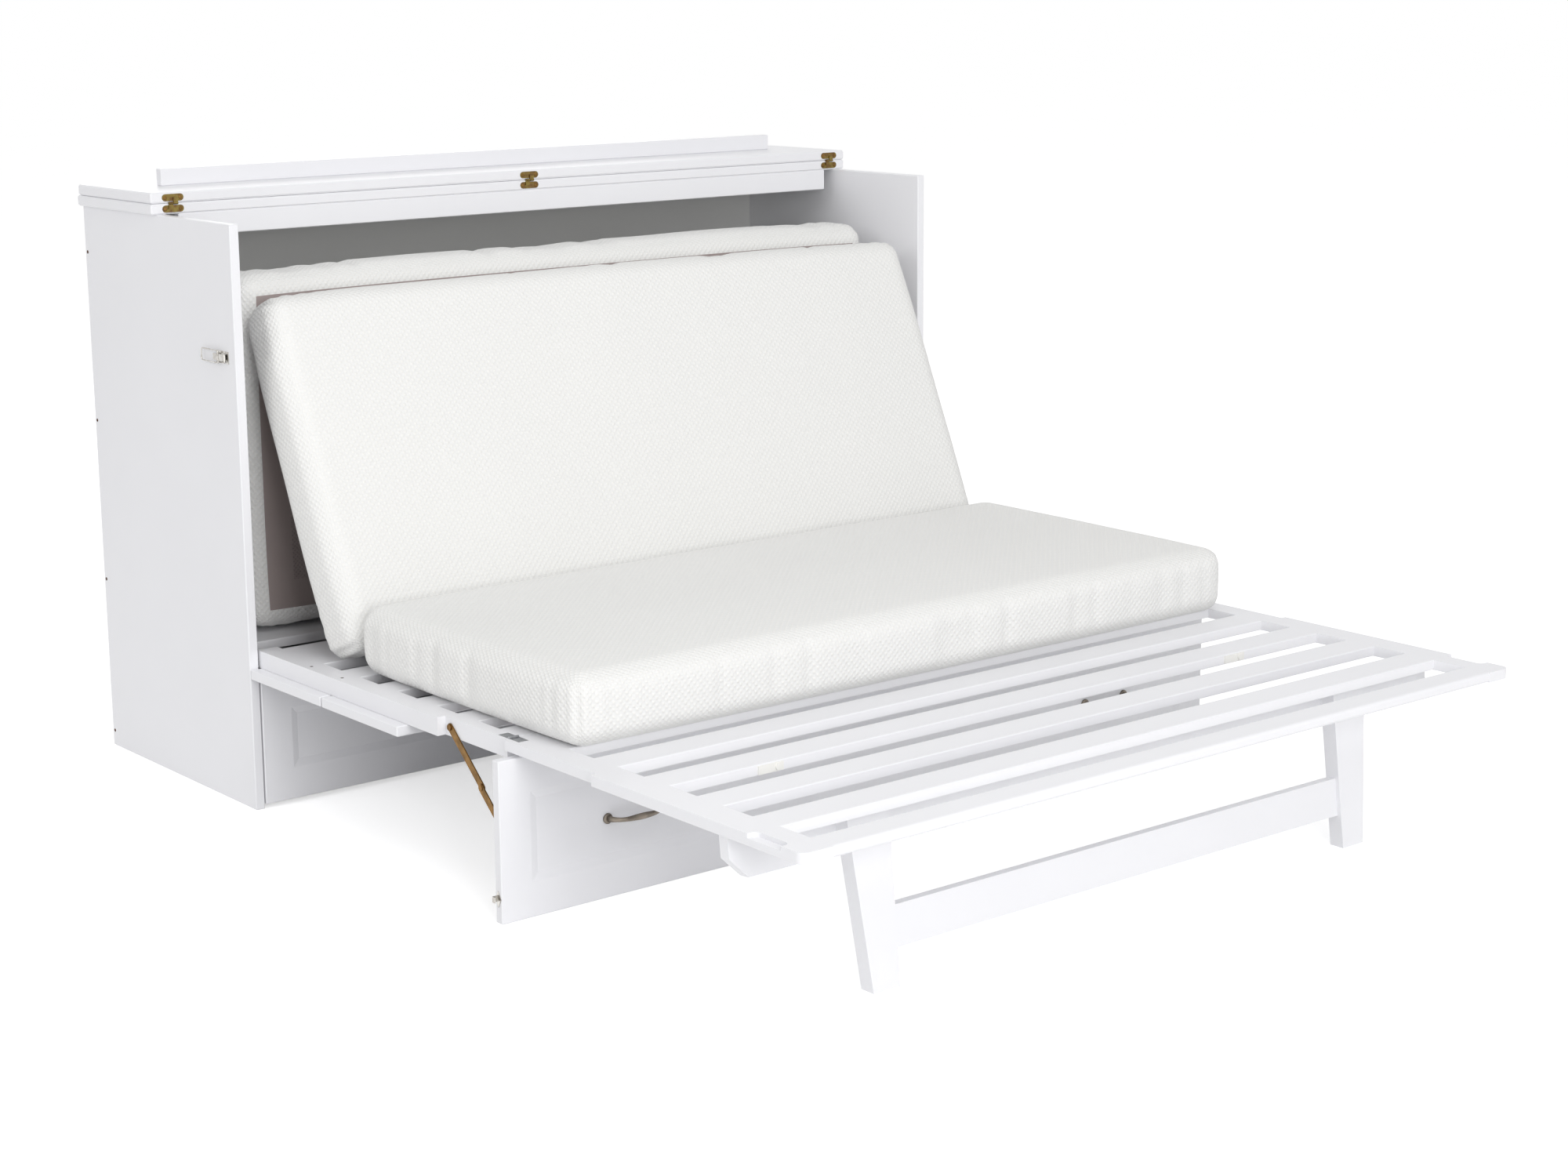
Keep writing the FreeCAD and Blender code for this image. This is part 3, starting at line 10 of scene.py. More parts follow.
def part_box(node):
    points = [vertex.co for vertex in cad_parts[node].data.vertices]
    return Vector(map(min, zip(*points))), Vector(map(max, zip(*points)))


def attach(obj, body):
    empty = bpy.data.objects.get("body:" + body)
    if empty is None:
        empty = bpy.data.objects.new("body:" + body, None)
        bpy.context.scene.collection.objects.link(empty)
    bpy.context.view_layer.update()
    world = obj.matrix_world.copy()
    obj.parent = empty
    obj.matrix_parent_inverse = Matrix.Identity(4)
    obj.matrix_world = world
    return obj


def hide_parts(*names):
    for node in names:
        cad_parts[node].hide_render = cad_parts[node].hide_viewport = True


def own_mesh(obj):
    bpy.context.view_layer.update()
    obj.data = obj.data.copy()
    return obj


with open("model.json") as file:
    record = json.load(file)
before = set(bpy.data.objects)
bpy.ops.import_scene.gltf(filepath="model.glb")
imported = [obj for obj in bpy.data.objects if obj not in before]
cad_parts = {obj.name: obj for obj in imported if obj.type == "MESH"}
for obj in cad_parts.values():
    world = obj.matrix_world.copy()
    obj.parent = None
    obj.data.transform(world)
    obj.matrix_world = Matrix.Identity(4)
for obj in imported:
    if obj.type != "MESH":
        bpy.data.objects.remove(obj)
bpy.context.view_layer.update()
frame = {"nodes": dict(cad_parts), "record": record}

bl_info = {
    "name": "Cabinet Bed",
    "version": (1, 0, 0),
    "blender": (4, 5, 0),
    "location": "View3D > Sidebar > Cabinet Bed",
    "description": "Finishes and soft parts of a chest that unfolds into a bed",
    "category": "Object",
}

SLOT_OF_NODE = {part["node"]: part["material_slot"] for part in frame["record"]["subparts"]}

MM = 0.001
UV_NAME = "Cover"
MIX_A = 6                   # sockets of the Mix node when it mixes colours
MIX_B = 7
MIX_RESULT = 2

# Close to the photograph's view, which was fitted to the straight edges of the object. The exact
# fit shifts the picture by nearly half its width, and other views would keep that shift.
CAMERA_LENS = 63.13
CAMERA_SENSOR = 36.0
CAMERA_SHIFT = (0.03, -0.03)
CAMERA_PLACE = Vector((-3.1413, -3.8736, 1.5016))
CAMERA_YAW = math.radians(38.389)
CAMERA_PITCH = math.radians(11.7)
CAMERA_ROLL = math.radians(-0.568)

EDGE_STEPS = 5              # grid lines across each rounded edge of a cover
COVER_STEP = 10 * MM
FOLD_SPACING = 105 * MM
FOLD_WIDTH = 0.2            # share of the spacing that a fold takes
PUCKER_SPACING = 34 * MM    # small folds where the cover is gathered at the corners
PUCKER_REACH = 150 * MM
TURNED_UNDER = 38 * MM      # width of the knit that goes round on to the underside
MIDDLE_LEAN = math.radians(24)      # middle section from upright
UNEVEN_SIZE = 170 * MM
BORDER_BAND = 90 * MM       # plain border of the underside
HEAD_SEGMENTS = 24
HEAD_RINGS = (0.0, 0.2, 0.4, 0.58, 0.66, 0.85, 1.0)
HEAD_RECESS = 0.6           # the cross reaches this share of the radius
HINGE_SCREW_RADIUS = 3.6 * MM
HINGE_SCREW_HEIGHT = 1.3 * MM
HINGE_PLATE_HALF = 6.5 * MM
HINGE_SCREW_INSET = 6.5 * MM
HINGE_PLATE_FACE = 1.5 * MM     # outer face of a hinge plate, ahead of its back
HEAD_DOME = 0.75            # how much of its curve a screw head's dome shows
HEAD_CROSS_DEPTH = 0.7      # share of the head's height
HEAD_CENTRE = 0.1           # the rings within this share of the radius lie in the recess
FOLD_GROUP = 3 * FOLD_SPACING       # folds come in groups of about this length
FOLD_GROUP_PLANE = 5.0      # where the groups are read in the noise
FOLD_GROUP_LEAST = -0.1     # below this the side stays smooth
COVER_SEED = 11.3           # apart from each other, so that no two sections match
SIDE_SEED = 3.7
ISLAND_MERGE = 0.001 * MM
MESH_MERGE = 0.005 * MM

HANDLE_STEPS = 48
HANDLE_SIDES = 20
HANDLE_BOW = 4              # power of the bow's curve: higher is squarer
HANDLE_SHOULDER = 0.6
HANDLE_THIN = 0.62          # the bar's width as a share of its height
HANDLE_SWELL = (0.95, 0.18)         # its mean size and how far it swells along the bar
HANDLE_FOOT_RADIUS = 9 * MM
HANDLE_FOOT_SEGMENTS = 28
HANDLE_FOOT = ((0.0, 1.0), (2.6 * MM, 1.0), (3.6 * MM, 0.86), (4.0 * MM, 0.6))   # height, share of radius
WIRE_STEPS = 6              # straight parts in each bend of the latch wire
WIRE_ROUNDNESS = 4

# Sizes and depths of the patterns in the finishes.
PEEL_SIZE, PEEL_DEPTH = 3 * MM, 0.05 * MM
LACQUER_CLOUD = 240 * MM
FIBRE_SIZE, FIBRE_DEPTH = 4 * MM, 0.1 * MM
FOIL_CLOUD = 350 * MM
SCRATCH_DEPTH = 0.03 * MM
GRAIN_SIZE, GRAIN_DEPTH = 0.8 * MM, 0.05 * MM
STITCH_SIZE = 1.5 * MM
STITCH_SHARE = 0.25         # of a dimple's height
DIMPLE_DEPTH = 1.0 * MM
KNIT_CLOUD = 300 * MM
KNIT_CLOUD_SHARE = 0.3
# painted shade: the cover's colour is darkened and made a little bluer in the valleys between the dimples
KNIT_VALLEY_SHADE = (0.93, 0.94, 0.955)   # shares of the cover's colour that are left between its dimples
WEAVE_SIZE = 1.5 * MM
DOT_PITCH, DOT_DEPTH = 6 * MM, 0.5 * MM
SEAM_WIDTH = 2 * MM

FLOOR_CELLS = 8
FLOOR_CLOUD_SCALE = 1.5     # per metre
FLOOR_LIFT = 0.52           # what the floor lacks to plain white where it is seen
LAMPS = {                   # side in metres, place
    "key": (3.2, (-1.2, -3.2, 4.6)),
    "side": (2.4, (-4.8, 0.6, 2.6)),
    "front": (2.6, (-2.0, -5.6, 2.0)),
    "back": (3.0, (1.8, 4.8, 2.8)),
}
LAMP_AIM = Vector((0, 0, 0.5))


def linear(hex_colour):
    """An sRGB hex colour as linear red, green and blue."""
    parts = [int(hex_colour[n:n + 2], 16) / 255 for n in (0, 2, 4)]
    return tuple(c / 12.92 if c <= 0.04045 else ((c + 0.055) / 1.055) ** 2.4 for c in parts)


def rgba(colour):
    """A colour property with full opacity, as a shader's socket takes it."""
    return (colour[0], colour[1], colour[2], 1.0)


def shaded(colour, level):
    """The same colour, lighter or darker."""
    return tuple(min(1.0, c * level) for c in colour[:3]) + (1.0,)


# ---------------------------------------------------------------- what a user may change
class MattressSettings(bpy.types.PropertyGroup):
    edge_round: bpy.props.FloatProperty(
        name="Edge Round", description="Radius of the mattress's soft edges",
        default=36 * MM, min=10 * MM, max=50 * MM, subtype="DISTANCE", unit="LENGTH")
    crown: bpy.props.FloatProperty(
        name="Crown", description="Height of the lying face's middle above its edges",
        default=6 * MM, min=0.0, max=20 * MM, subtype="DISTANCE", unit="LENGTH")
    side_bow: bpy.props.FloatProperty(
        name="Side Bow", description="How far the sides swell between the top and bottom edges",
        default=5 * MM, min=0.0, max=15 * MM, subtype="DISTANCE", unit="LENGTH")
    corner_draw: bpy.props.FloatProperty(
        name="Corner Draw", description="How far the cover pulls the foam in at its corners",
        default=5 * MM, min=0.0, max=15 * MM, subtype="DISTANCE", unit="LENGTH")
    fold_depth: bpy.props.FloatProperty(
        name="Fold Depth", description="Depth of the upright folds in the cover's sides",
        default=6 * MM, min=0.0, max=10 * MM, subtype="DISTANCE", unit="LENGTH")
    unevenness: bpy.props.FloatProperty(
        name="Unevenness", description="Height of the soft waves in the cover",
        default=1.5 * MM, min=0.0, max=5 * MM, subtype="DISTANCE", unit="LENGTH")
    dimple_pitch: bpy.props.FloatProperty(
        name="Dimple Pitch", description="Distance between the knit's raised dimples",
        default=9 * MM, min=3 * MM, max=20 * MM, subtype="DISTANCE", unit="LENGTH")


class HardwareSettings(bpy.types.PropertyGroup):
    handle_radius: bpy.props.FloatProperty(
        name="Handle Radius", description="Half the height of the bow handle's bar",
        default=5 * MM, min=3 * MM, max=8 * MM, subtype="DISTANCE", unit="LENGTH")
    wire_radius: bpy.props.FloatProperty(
        name="Latch Wire Radius", description="Radius of the latch's wire loop",
        default=1.3 * MM, min=0.8 * MM, max=2 * MM, subtype="DISTANCE", unit="LENGTH")
    wire_bend: bpy.props.FloatProperty(
        name="Latch Wire Bend", description="Radius of the wire loop's corners",
        default=5 * MM, min=2 * MM, max=9 * MM, subtype="DISTANCE", unit="LENGTH")


class FinishSettings(bpy.types.PropertyGroup):
    board: bpy.props.FloatVectorProperty(
        name="Boards", description="Lacquer of the boards", subtype="COLOR", min=0.0, max=1.0,
        default=linear("ECECEF"))
    back: bpy.props.FloatVectorProperty(
        name="Back", description="Foil of the cabinet's back", subtype="COLOR", min=0.0, max=1.0,
        default=linear("DEDEDC"))
    cover: bpy.props.FloatVectorProperty(
        name="Mattress Cover", description="Knit of the mattress's top and sides", subtype="COLOR",
        min=0.0, max=1.0, default=linear("F0EFEC"))
    underside: bpy.props.FloatVectorProperty(
        name="Mattress Underside", description="Anti-slip cloth under the mattress", subtype="COLOR",
        min=0.0, max=1.0, default=linear("9B8F8D"))
    hinge: bpy.props.FloatVectorProperty(
        name="Top Hinges", description="Plate on the top's hinges", subtype="COLOR", min=0.0, max=1.0,
        default=linear("8A7A45"))
    stay: bpy.props.FloatVectorProperty(
        name="Stays", description="Plate on the stays", subtype="COLOR", min=0.0, max=1.0,
        default=linear("8C6A3C"))
    handle: bpy.props.FloatVectorProperty(
        name="Handles", description="Plate on the handles", subtype="COLOR", min=0.0, max=1.0,
        default=linear("8A8176"))


class StageSettings(bpy.types.PropertyGroup):
    floor_reach: bpy.props.FloatProperty(
        name="Floor Reach", description="Half the side of the floor", default=45.0, min=4.0, max=80.0,
        subtype="DISTANCE", unit="LENGTH")
    room_light: bpy.props.FloatProperty(
        name="Room Light", description="Strength of the even light from all round", default=0.55,
        min=0.0, max=1.5)
    key_power: bpy.props.FloatProperty(
        name="Key Power", description="Power of the large lamp above the foot of the bed", default=70.0,
        min=0.0, max=1000.0, subtype="POWER", unit="POWER")
    side_power: bpy.props.FloatProperty(
        name="Side Power", description="Power of the lamp on the left", default=35.0,
        min=0.0, max=1000.0, subtype="POWER", unit="POWER")
    front_power: bpy.props.FloatProperty(
        name="Front Power", description="Power of the lamp that lights the inside of the cabinet",
        default=120.0, min=0.0, max=1000.0, subtype="POWER", unit="POWER")
    back_power: bpy.props.FloatProperty(
        name="Back Power", description="Power of the lamp behind the cabinet", default=45.0,
        min=0.0, max=1000.0, subtype="POWER", unit="POWER")


# ---------------------------------------------------------------- materials
def add_node(tree, kind, inputs=None, **settings):
    """A node with its settings, and with its inputs set or linked."""
    node = tree.nodes.new(kind)
    for name, value in settings.items():
        setattr(node, name, value)
    for key, value in (inputs or {}).items():
        if isinstance(value, bpy.types.NodeSocket):
            tree.links.new(value, node.inputs[key])
        else:
            node.inputs[key].default_value = value
    return node


def new_material(name, **values):
    """A material with one Principled shader, whose plain values are set on its own sockets."""
    material = bpy.data.materials.new(name)
    material.use_nodes = True
    tree = material.node_tree
    tree.nodes.clear()
    shader = add_node(tree, "ShaderNodeBsdfPrincipled",
                      {key.replace("_", " "): value for key, value in values.items()})
    add_node(tree, "ShaderNodeOutputMaterial", {"Surface": shader.outputs["BSDF"]})
    return material, tree, shader


def link_look(tree, shader, colour, roughness, height, depth):
    """Joins a pattern's colour, roughness and height to the shader."""
    bump = add_node(tree, "ShaderNodeBump", {"Height": height, "Distance": depth, "Strength": 1.0})
    tree.links.new(colour, shader.inputs["Base Color"])
    tree.links.new(roughness, shader.inputs["Roughness"])
    tree.links.new(bump.outputs["Normal"], shader.inputs["Normal"])


def satin_lacquered_mdf(finish):
    """Sprayed and sanded satin lacquer on MDF: even and cool white, with a fine orange peel in its gloss."""
    material, tree, shader = new_material("satin_lacquered_mdf", IOR=1.5)
    place = add_node(tree, "ShaderNodeTexCoord").outputs["Object"]
    peel = add_node(tree, "ShaderNodeTexNoise", {"Vector": place, "Scale": 1 / PEEL_SIZE, "Detail": 2.0})
    cloud = add_node(tree, "ShaderNodeTexNoise", {"Vector": place, "Scale": 1 / LACQUER_CLOUD, "Detail": 3.0})
    colour = add_node(tree, "ShaderNodeMix", {0: cloud.outputs["Fac"], MIX_A: shaded(finish.board, 0.975),
                                              MIX_B: shaded(finish.board, 1.02)}, data_type="RGBA")
    rough = add_node(tree, "ShaderNodeMapRange",
                     {"Value": peel.outputs["Fac"], "To Min": 0.34, "To Max": 0.46})
    link_look(tree, shader, colour.outputs[MIX_RESULT], rough.outputs["Result"], peel.outputs["Fac"],
              PEEL_DEPTH)
    return material


def matt_foil_hardboard(finish):
    """Printed foil pressed on hardboard: matt pale grey, with the faint pimples of the fibres below."""
    material, tree, shader = new_material("matt_foil_hardboard", IOR=1.48)
    place = add_node(tree, "ShaderNodeTexCoord").outputs["Object"]
    fibre = add_node(tree, "ShaderNodeTexNoise", {"Vector": place, "Scale": 1 / FIBRE_SIZE, "Detail": 4.0})
    cloud = add_node(tree, "ShaderNodeTexNoise", {"Vector": place, "Scale": 1 / FOIL_CLOUD})
    colour = add_node(tree, "ShaderNodeMix", {0: cloud.outputs["Fac"], MIX_A: shaded(finish.back, 0.96),
                                              MIX_B: shaded(finish.back, 1.02)}, data_type="RGBA")
    rough = add_node(tree, "ShaderNodeMapRange",
                     {"Value": fibre.outputs["Fac"], "To Min": 0.6, "To Max": 0.75})
    link_look(tree, shader, colour.outputs[MIX_RESULT], rough.outputs["Result"], fibre.outputs["Fac"],
              FIBRE_DEPTH)
    return material


def plated_metal(name, light, dark, smooth, rough_to, patch, scratch):
    """Thin plate over steel: two tones in patches, and fine marks from handling that break up the gloss."""
    material, tree, shader = new_material(name, Metallic=1.0)
    place = add_node(tree, "ShaderNodeTexCoord").outputs["Object"]
    tone = add_node(tree, "ShaderNodeTexNoise", {"Vector": place, "Scale": 1 / patch, "Detail": 3.0})
    mark = add_node(tree, "ShaderNodeTexNoise", {"Vector": place, "Scale": 1 / scratch, "Detail": 2.0})
    share = add_node(tree, "ShaderNodeMapRange",
                     {"Value": tone.outputs["Fac"], "From Min": 0.35, "From Max": 0.65})
    colour = add_node(tree, "ShaderNodeMix", {0: share.outputs["Result"], MIX_A: light, MIX_B: dark},
                      data_type="RGBA")
    rough = add_node(tree, "ShaderNodeMapRange",
                     {"Value": mark.outputs["Fac"], "To Min": smooth, "To Max": rough_to})
    link_look(tree, shader, colour.outputs[MIX_RESULT], rough.outputs["Result"], mark.outputs["Fac"],
              SCRATCH_DEPTH)
    return material


def moulded_abs():
    """Moulded ABS: warm white, softly glossy, with the fine grain of a spark-eroded mould."""
    material, tree, shader = new_material("moulded_abs", IOR=1.53)
    place = add_node(tree, "ShaderNodeTexCoord").outputs["Object"]
    grain = add_node(tree, "ShaderNodeTexNoise", {"Vector": place, "Scale": 1 / GRAIN_SIZE})
    white = linear("EDECE8")
    colour = add_node(tree, "ShaderNodeMix", {0: grain.outputs["Fac"], MIX_A: shaded(white, 0.97),
                                              MIX_B: shaded(white, 1.02)}, data_type="RGBA")
    rough = add_node(tree, "ShaderNodeMapRange",
                     {"Value": grain.outputs["Fac"], "To Min": 0.35, "To Max": 0.5})
    link_look(tree, shader, colour.outputs[MIX_RESULT], rough.outputs["Result"], grain.outputs["Fac"],
              GRAIN_DEPTH)
    return material


def lattice(tree, across, along, pitch):
    """Height of dots on a diagonal lattice with that distance between neighbours."""
    turns = math.pi * math.sqrt(2) / pitch
    waves = []
    for place in (across, along):
        angle = add_node(tree, "ShaderNodeMath", {0: place, 1: turns}, operation="MULTIPLY")
        waves.append(add_node(tree, "ShaderNodeMath", {0: angle.outputs[0]}, operation="SINE").outputs[0])
    product = add_node(tree, "ShaderNodeMath", {0: waves[0], 1: waves[1]}, operation="MULTIPLY")
    height = add_node(tree, "ShaderNodeMapRange", {"Value": product.outputs[0], "From Min": -0.2})
    return height.outputs["Result"]


def dimpled_polyester_knit(finish, pitch):
    """Two-layer polyester knit with air pockets: soft off-white dimples, with painted shade between them that
    is darker and a little bluer.
    """
    material, tree, shader = new_material("dimpled_polyester_knit", IOR=1.46, Sheen_Weight=0.15,
                                          Sheen_Roughness=0.5)
    uv = add_node(tree, "ShaderNodeUVMap", uv_map=UV_NAME).outputs["UV"]
    split = add_node(tree, "ShaderNodeSeparateXYZ", {"Vector": uv})
    dots = lattice(tree, split.outputs["X"], split.outputs["Y"], pitch)
    stitch = add_node(tree, "ShaderNodeTexNoise", {"Vector": uv, "Scale": 1 / STITCH_SIZE, "Detail": 2.0})
    cloud = add_node(tree, "ShaderNodeTexNoise", {"Vector": uv, "Scale": 1 / KNIT_CLOUD, "Detail": 2.0})
    # painted shade: darker, bluer colour for the valleys between the dimples, mixed in by the dimples' height
    cool = tuple(c * f for c, f in zip(finish.cover, KNIT_VALLEY_SHADE)) + (1.0,)
    knit = add_node(tree, "ShaderNodeMix",
                    {0: dots, MIX_A: cool, MIX_B: rgba(finish.cover)}, data_type="RGBA")
    share = add_node(tree, "ShaderNodeMath",
                     {0: cloud.outputs["Fac"], 1: KNIT_CLOUD_SHARE}, operation="MULTIPLY")
    colour = add_node(tree, "ShaderNodeMix", {0: share.outputs[0], MIX_A: knit.outputs[MIX_RESULT],
                                              MIX_B: rgba(finish.cover)}, data_type="RGBA")
    fine = add_node(tree, "ShaderNodeMath", {0: stitch.outputs["Fac"], 1: STITCH_SHARE}, operation="MULTIPLY")
    height = add_node(tree, "ShaderNodeMath", {0: dots, 1: fine.outputs[0]}, operation="ADD")
    rough = add_node(tree, "ShaderNodeMapRange",
                     {"Value": stitch.outputs["Fac"], "To Min": 0.8, "To Max": 0.95})
    link_look(tree, shader, colour.outputs[MIX_RESULT], rough.outputs["Result"], height.outputs[0],
              DIMPLE_DEPTH)
    return material


def dotted_anti_slip_cloth(finish, width, depth):
    """Taupe polyester with printed rubber dots inside a plain sewn border, so that it grips the slats."""
    material, tree, shader = new_material("dotted_anti_slip_cloth", IOR=1.46, Sheen_Weight=0.1)
    uv = add_node(tree, "ShaderNodeUVMap", uv_map=UV_NAME).outputs["UV"]
    split = add_node(tree, "ShaderNodeSeparateXYZ", {"Vector": uv})
    inside = []
    for place, size in ((split.outputs["X"], width), (split.outputs["Y"], depth)):
        middle = add_node(tree, "ShaderNodeMath", {0: place, 1: size / 2}, operation="SUBTRACT")
        off = add_node(tree, "ShaderNodeMath", {0: middle.outputs[0]}, operation="ABSOLUTE")
        border = size / 2 - BORDER_BAND
        inside.append(add_node(tree, "ShaderNodeMapRange", {
            "Value": off.outputs[0], "From Min": border, "From Max": border - SEAM_WIDTH,
        }).outputs["Result"])
    field = add_node(tree, "ShaderNodeMath", {0: inside[0], 1: inside[1]}, operation="MULTIPLY")
    # The real dots are finer: they are drawn as close together as still shows in the photograph's view.
    dots = lattice(tree, split.outputs["X"], split.outputs["Y"], DOT_PITCH)
    grip = add_node(tree, "ShaderNodeMath", {0: dots, 1: field.outputs[0]}, operation="MULTIPLY")
    weave = add_node(tree, "ShaderNodeTexNoise", {"Vector": uv, "Scale": 1 / WEAVE_SIZE})
    plain = add_node(tree, "ShaderNodeMix", {0: field.outputs[0], MIX_A: shaded(finish.underside, 1.08),
                                             MIX_B: rgba(finish.underside)}, data_type="RGBA")
    colour = add_node(tree, "ShaderNodeMix", {0: grip.outputs[0], MIX_A: plain.outputs[MIX_RESULT],
                                              MIX_B: shaded(finish.underside, 0.78)}, data_type="RGBA")
    rough = add_node(tree, "ShaderNodeMapRange",
                     {"Value": weave.outputs["Fac"], "To Min": 0.7, "To Max": 0.9})
    link_look(tree, shader, colour.outputs[MIX_RESULT], rough.outputs["Result"], grip.outputs[0], DOT_DEPTH)
    return material


def finish_nodes(finishes):
    """Gives the CAD nodes of these record slots their material."""
    done = 0
    for name, node in frame["nodes"].items():
        material = finishes.get(SLOT_OF_NODE[name])
        if material is None:
            continue
        for slot in node.material_slots:
            slot.material = material
        done += 1
    if not done:
        raise RuntimeError(f"no node has a slot in {sorted(finishes)}")


# ---------------------------------------------------------------- shapes
def finished_piece(name, mesh, body, nodes=()):
    """Puts a mesh in the scene as a piece on a body, in place of CAD nodes if any are named."""
    piece = bpy.data.objects.new(name, mesh)
    bpy.context.collection.objects.link(piece)
    if nodes:
        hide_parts(*nodes)
    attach(piece, body)
    return piece


def islands(node):
    """(lowest corner, highest corner) of each separate solid in a CAD node."""
    source = frame["nodes"][node].data
    mesh = bmesh.new()
    mesh.from_mesh(source)
    bmesh.ops.remove_doubles(mesh, verts=mesh.verts, dist=ISLAND_MERGE)
    left = set(mesh.verts)
    found = []
    while left:
        open_verts = [left.pop()]
        group = list(open_verts)
        while open_verts:
            for edge in open_verts.pop().link_edges:
                for vert in edge.verts:
                    if vert in left:
                        left.discard(vert)
                        open_verts.append(vert)
                        group.append(vert)
        low = Vector([min(v.co[n] for v in group) for n in range(3)])
        high = Vector([max(v.co[n] for v in group) for n in range(3)])
        found.append((low, high))
    mesh.free()
    return sorted(found, key=lambda pair: tuple(pair[0]))


def grid_lines(length, radius, step):
    """Places of the grid lines along one side, closer together over the rounded edges."""
    edge = [radius * n / EDGE_STEPS for n in range(EDGE_STEPS)]
    count = max(2, round((length - 2 * radius) / step))
    middle = [radius + (length - 2 * radius) * n / count for n in range(count + 1)]
    return edge + middle + [length - e for e in reversed(edge)]


def rounded(point, size, radius):
    """A point of a box's surface, moved on to the box with rounded edges."""
    inner = Vector([min(max(point[n], radius), size[n] - radius) for n in range(3)])
    out = point - inner
    return inner + out.normalized() * radius


def cover_form(point, size, settings):
    """The rounded box drawn in at its corners, bowed at its sides and crowned on its lying face."""
    u, v, w = (2 * point[n] / size[n] - 1 for n in range(3))
    bow = settings.side_bow * w * w
    x = point.x - size.x / 2
    y = point.y - size.y / 2
    x *= 1 - (bow + settings.corner_draw * v ** 4) / (size.x / 2)
    y *= 1 - (bow + settings.corner_draw * u ** 4) / (size.y / 2)
    fall = settings.crown * (1 - (1 - u ** 4) * (1 - v ** 4))
    z = point.z - fall * point.z / size.z
    return Vector((x, y, z))


def fold_at(along, length, seed):
    """How deep an upright fold is at a place along a side of that length, from 0 to 1."""
    wave = noise.noise(Vector((along / FOLD_SPACING, seed, 0.0)))
    group = noise.noise(Vector((along / FOLD_GROUP, seed, FOLD_GROUP_PLANE)))
    fold = max(0.0, 1 - abs(wave) / FOLD_WIDTH) if group > FOLD_GROUP_LEAST else 0.0
    from_corner = min(along, length - along)
    if from_corner < PUCKER_REACH:
        pucker = 0.5 + 0.5 * math.cos(2 * math.pi * from_corner / PUCKER_SPACING)
        fold = max(fold, pucker * (1 - from_corner / PUCKER_REACH))
    return fold


def cover_mesh(name, size, settings, seed):
    """A closed padded form with its knit laid out flat in metres, and its underside in a second material."""
    radius = settings.edge_round
    lines = [grid_lines(size[n], radius, COVER_STEP) for n in range(3)]
    last = [len(line) - 1 for line in lines]
    mesh = bmesh.new()
    made = {}

    def vert(i, j, k):
        if (i, j, k) not in made:
            flat = Vector((lines[0][i], lines[1][j], lines[2][k]))
            made[i, j, k] = mesh.verts.new(cover_form(rounded(flat, size, radius), size, settings))
        return made[i, j, k]

    layout = mesh.loops.layers.uv.new(UV_NAME)
    for axis in range(3):
        a, b = [n for n in range(3) if n != axis]
        for end in (0, last[axis]):
            for p in range(last[a]):
                for q in range(last[b]):
                    corners = []
                    for da, db in ((0, 0), (1, 0), (1, 1), (0, 1)):
                        key = [0, 0, 0]
                        key[axis], key[a], key[b] = end, p + da, q + db
                        corners.append(tuple(key))
                    if (end == 0) != (axis == 1):
                        corners.reverse()
                    face = mesh.faces.new([vert(*key) for key in corners])
                    face.smooth = True
                    if axis == 2 and end == 0:
                        centre = [(lines[n][corners[0][n]] + lines[n][corners[2][n]]) / 2 for n in (0, 1)]
                        from_edge = min(min(centre[n], size[n] - centre[n]) for n in (0, 1))
                        face.material_index = 1 if from_edge > TURNED_UNDER else 0
                    for loop, key in zip(face.loops, corners):
                        x, y, z = (lines[n][key[n]] for n in range(3))
                        down = size.z - z
                        if axis == 0:
                            x = -down if end == 0 else size.x + down
                        if axis == 1:
                            y = -down if end == 0 else size.y + down
                        loop[layout].uv = (x, y)
    mesh.normal_update()
    moves = []
    for (i, j, k), v in made.items():
        height = lines[2][k] / size.z
        on_side = i in (0, last[0]) or j in (0, last[1])
        move = settings.unevenness * noise.noise(v.co / UNEVEN_SIZE + Vector((seed, 0, 0)))
        if k == 0:
            move = 0.0
        elif on_side:
            run = 0 if j in (0, last[1]) else 1
            along = lines[run][(i, j)[run]]
            depth = fold_at(along, size[run], seed + SIDE_SEED * run)
            move -= settings.fold_depth * depth * math.sin(math.pi * height)
        moves.append((v, v.normal * move))
    for v, move in moves:
        v.co += move
    data = bpy.data.meshes.new(name)
    mesh.to_mesh(data)
    mesh.free()
    return data


def set_against(data, turn, node):
    """Turns a mesh and brings it to a CAD node's place: same middle, same lowest point."""
    data.transform(turn)
    low, high = (Vector(corner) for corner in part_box(node))
    xs, ys, zs = zip(*(v.co for v in data.vertices))
    shift = Vector(((low.x + high.x - min(xs) - max(xs)) / 2, (low.y + high.y - min(ys) - max(ys)) / 2,
                    low.z - min(zs)))
    data.transform(Matrix.Translation(shift))


def tube(mesh, centres, sides, halves):
    """A closed bar through the centres: at each, half a width to the side and half a height up."""
    rings = []
    for n, centre in enumerate(centres):
        along = centres[min(n + 1, len(centres) - 1)] - centres[max(n - 1, 0)]
        side = along.cross(Vector((0, 0, 1))).normalized()
        wide, high = halves[n]
        ring = []
        for m in range(sides):
            angle = 2 * math.pi * m / sides
            ring.append(mesh.verts.new(centre + side * wide * math.cos(angle)
                                       + Vector((0, 0, high * math.sin(angle)))))
        rings.append(ring)
    for first, second in zip(rings, rings[1:]):
        for m in range(sides):
            n = (m + 1) % sides
            mesh.faces.new((first[m], first[n], second[n], second[m])).smooth = True
    mesh.faces.new(reversed(rings[0]))
    mesh.faces.new(rings[-1])


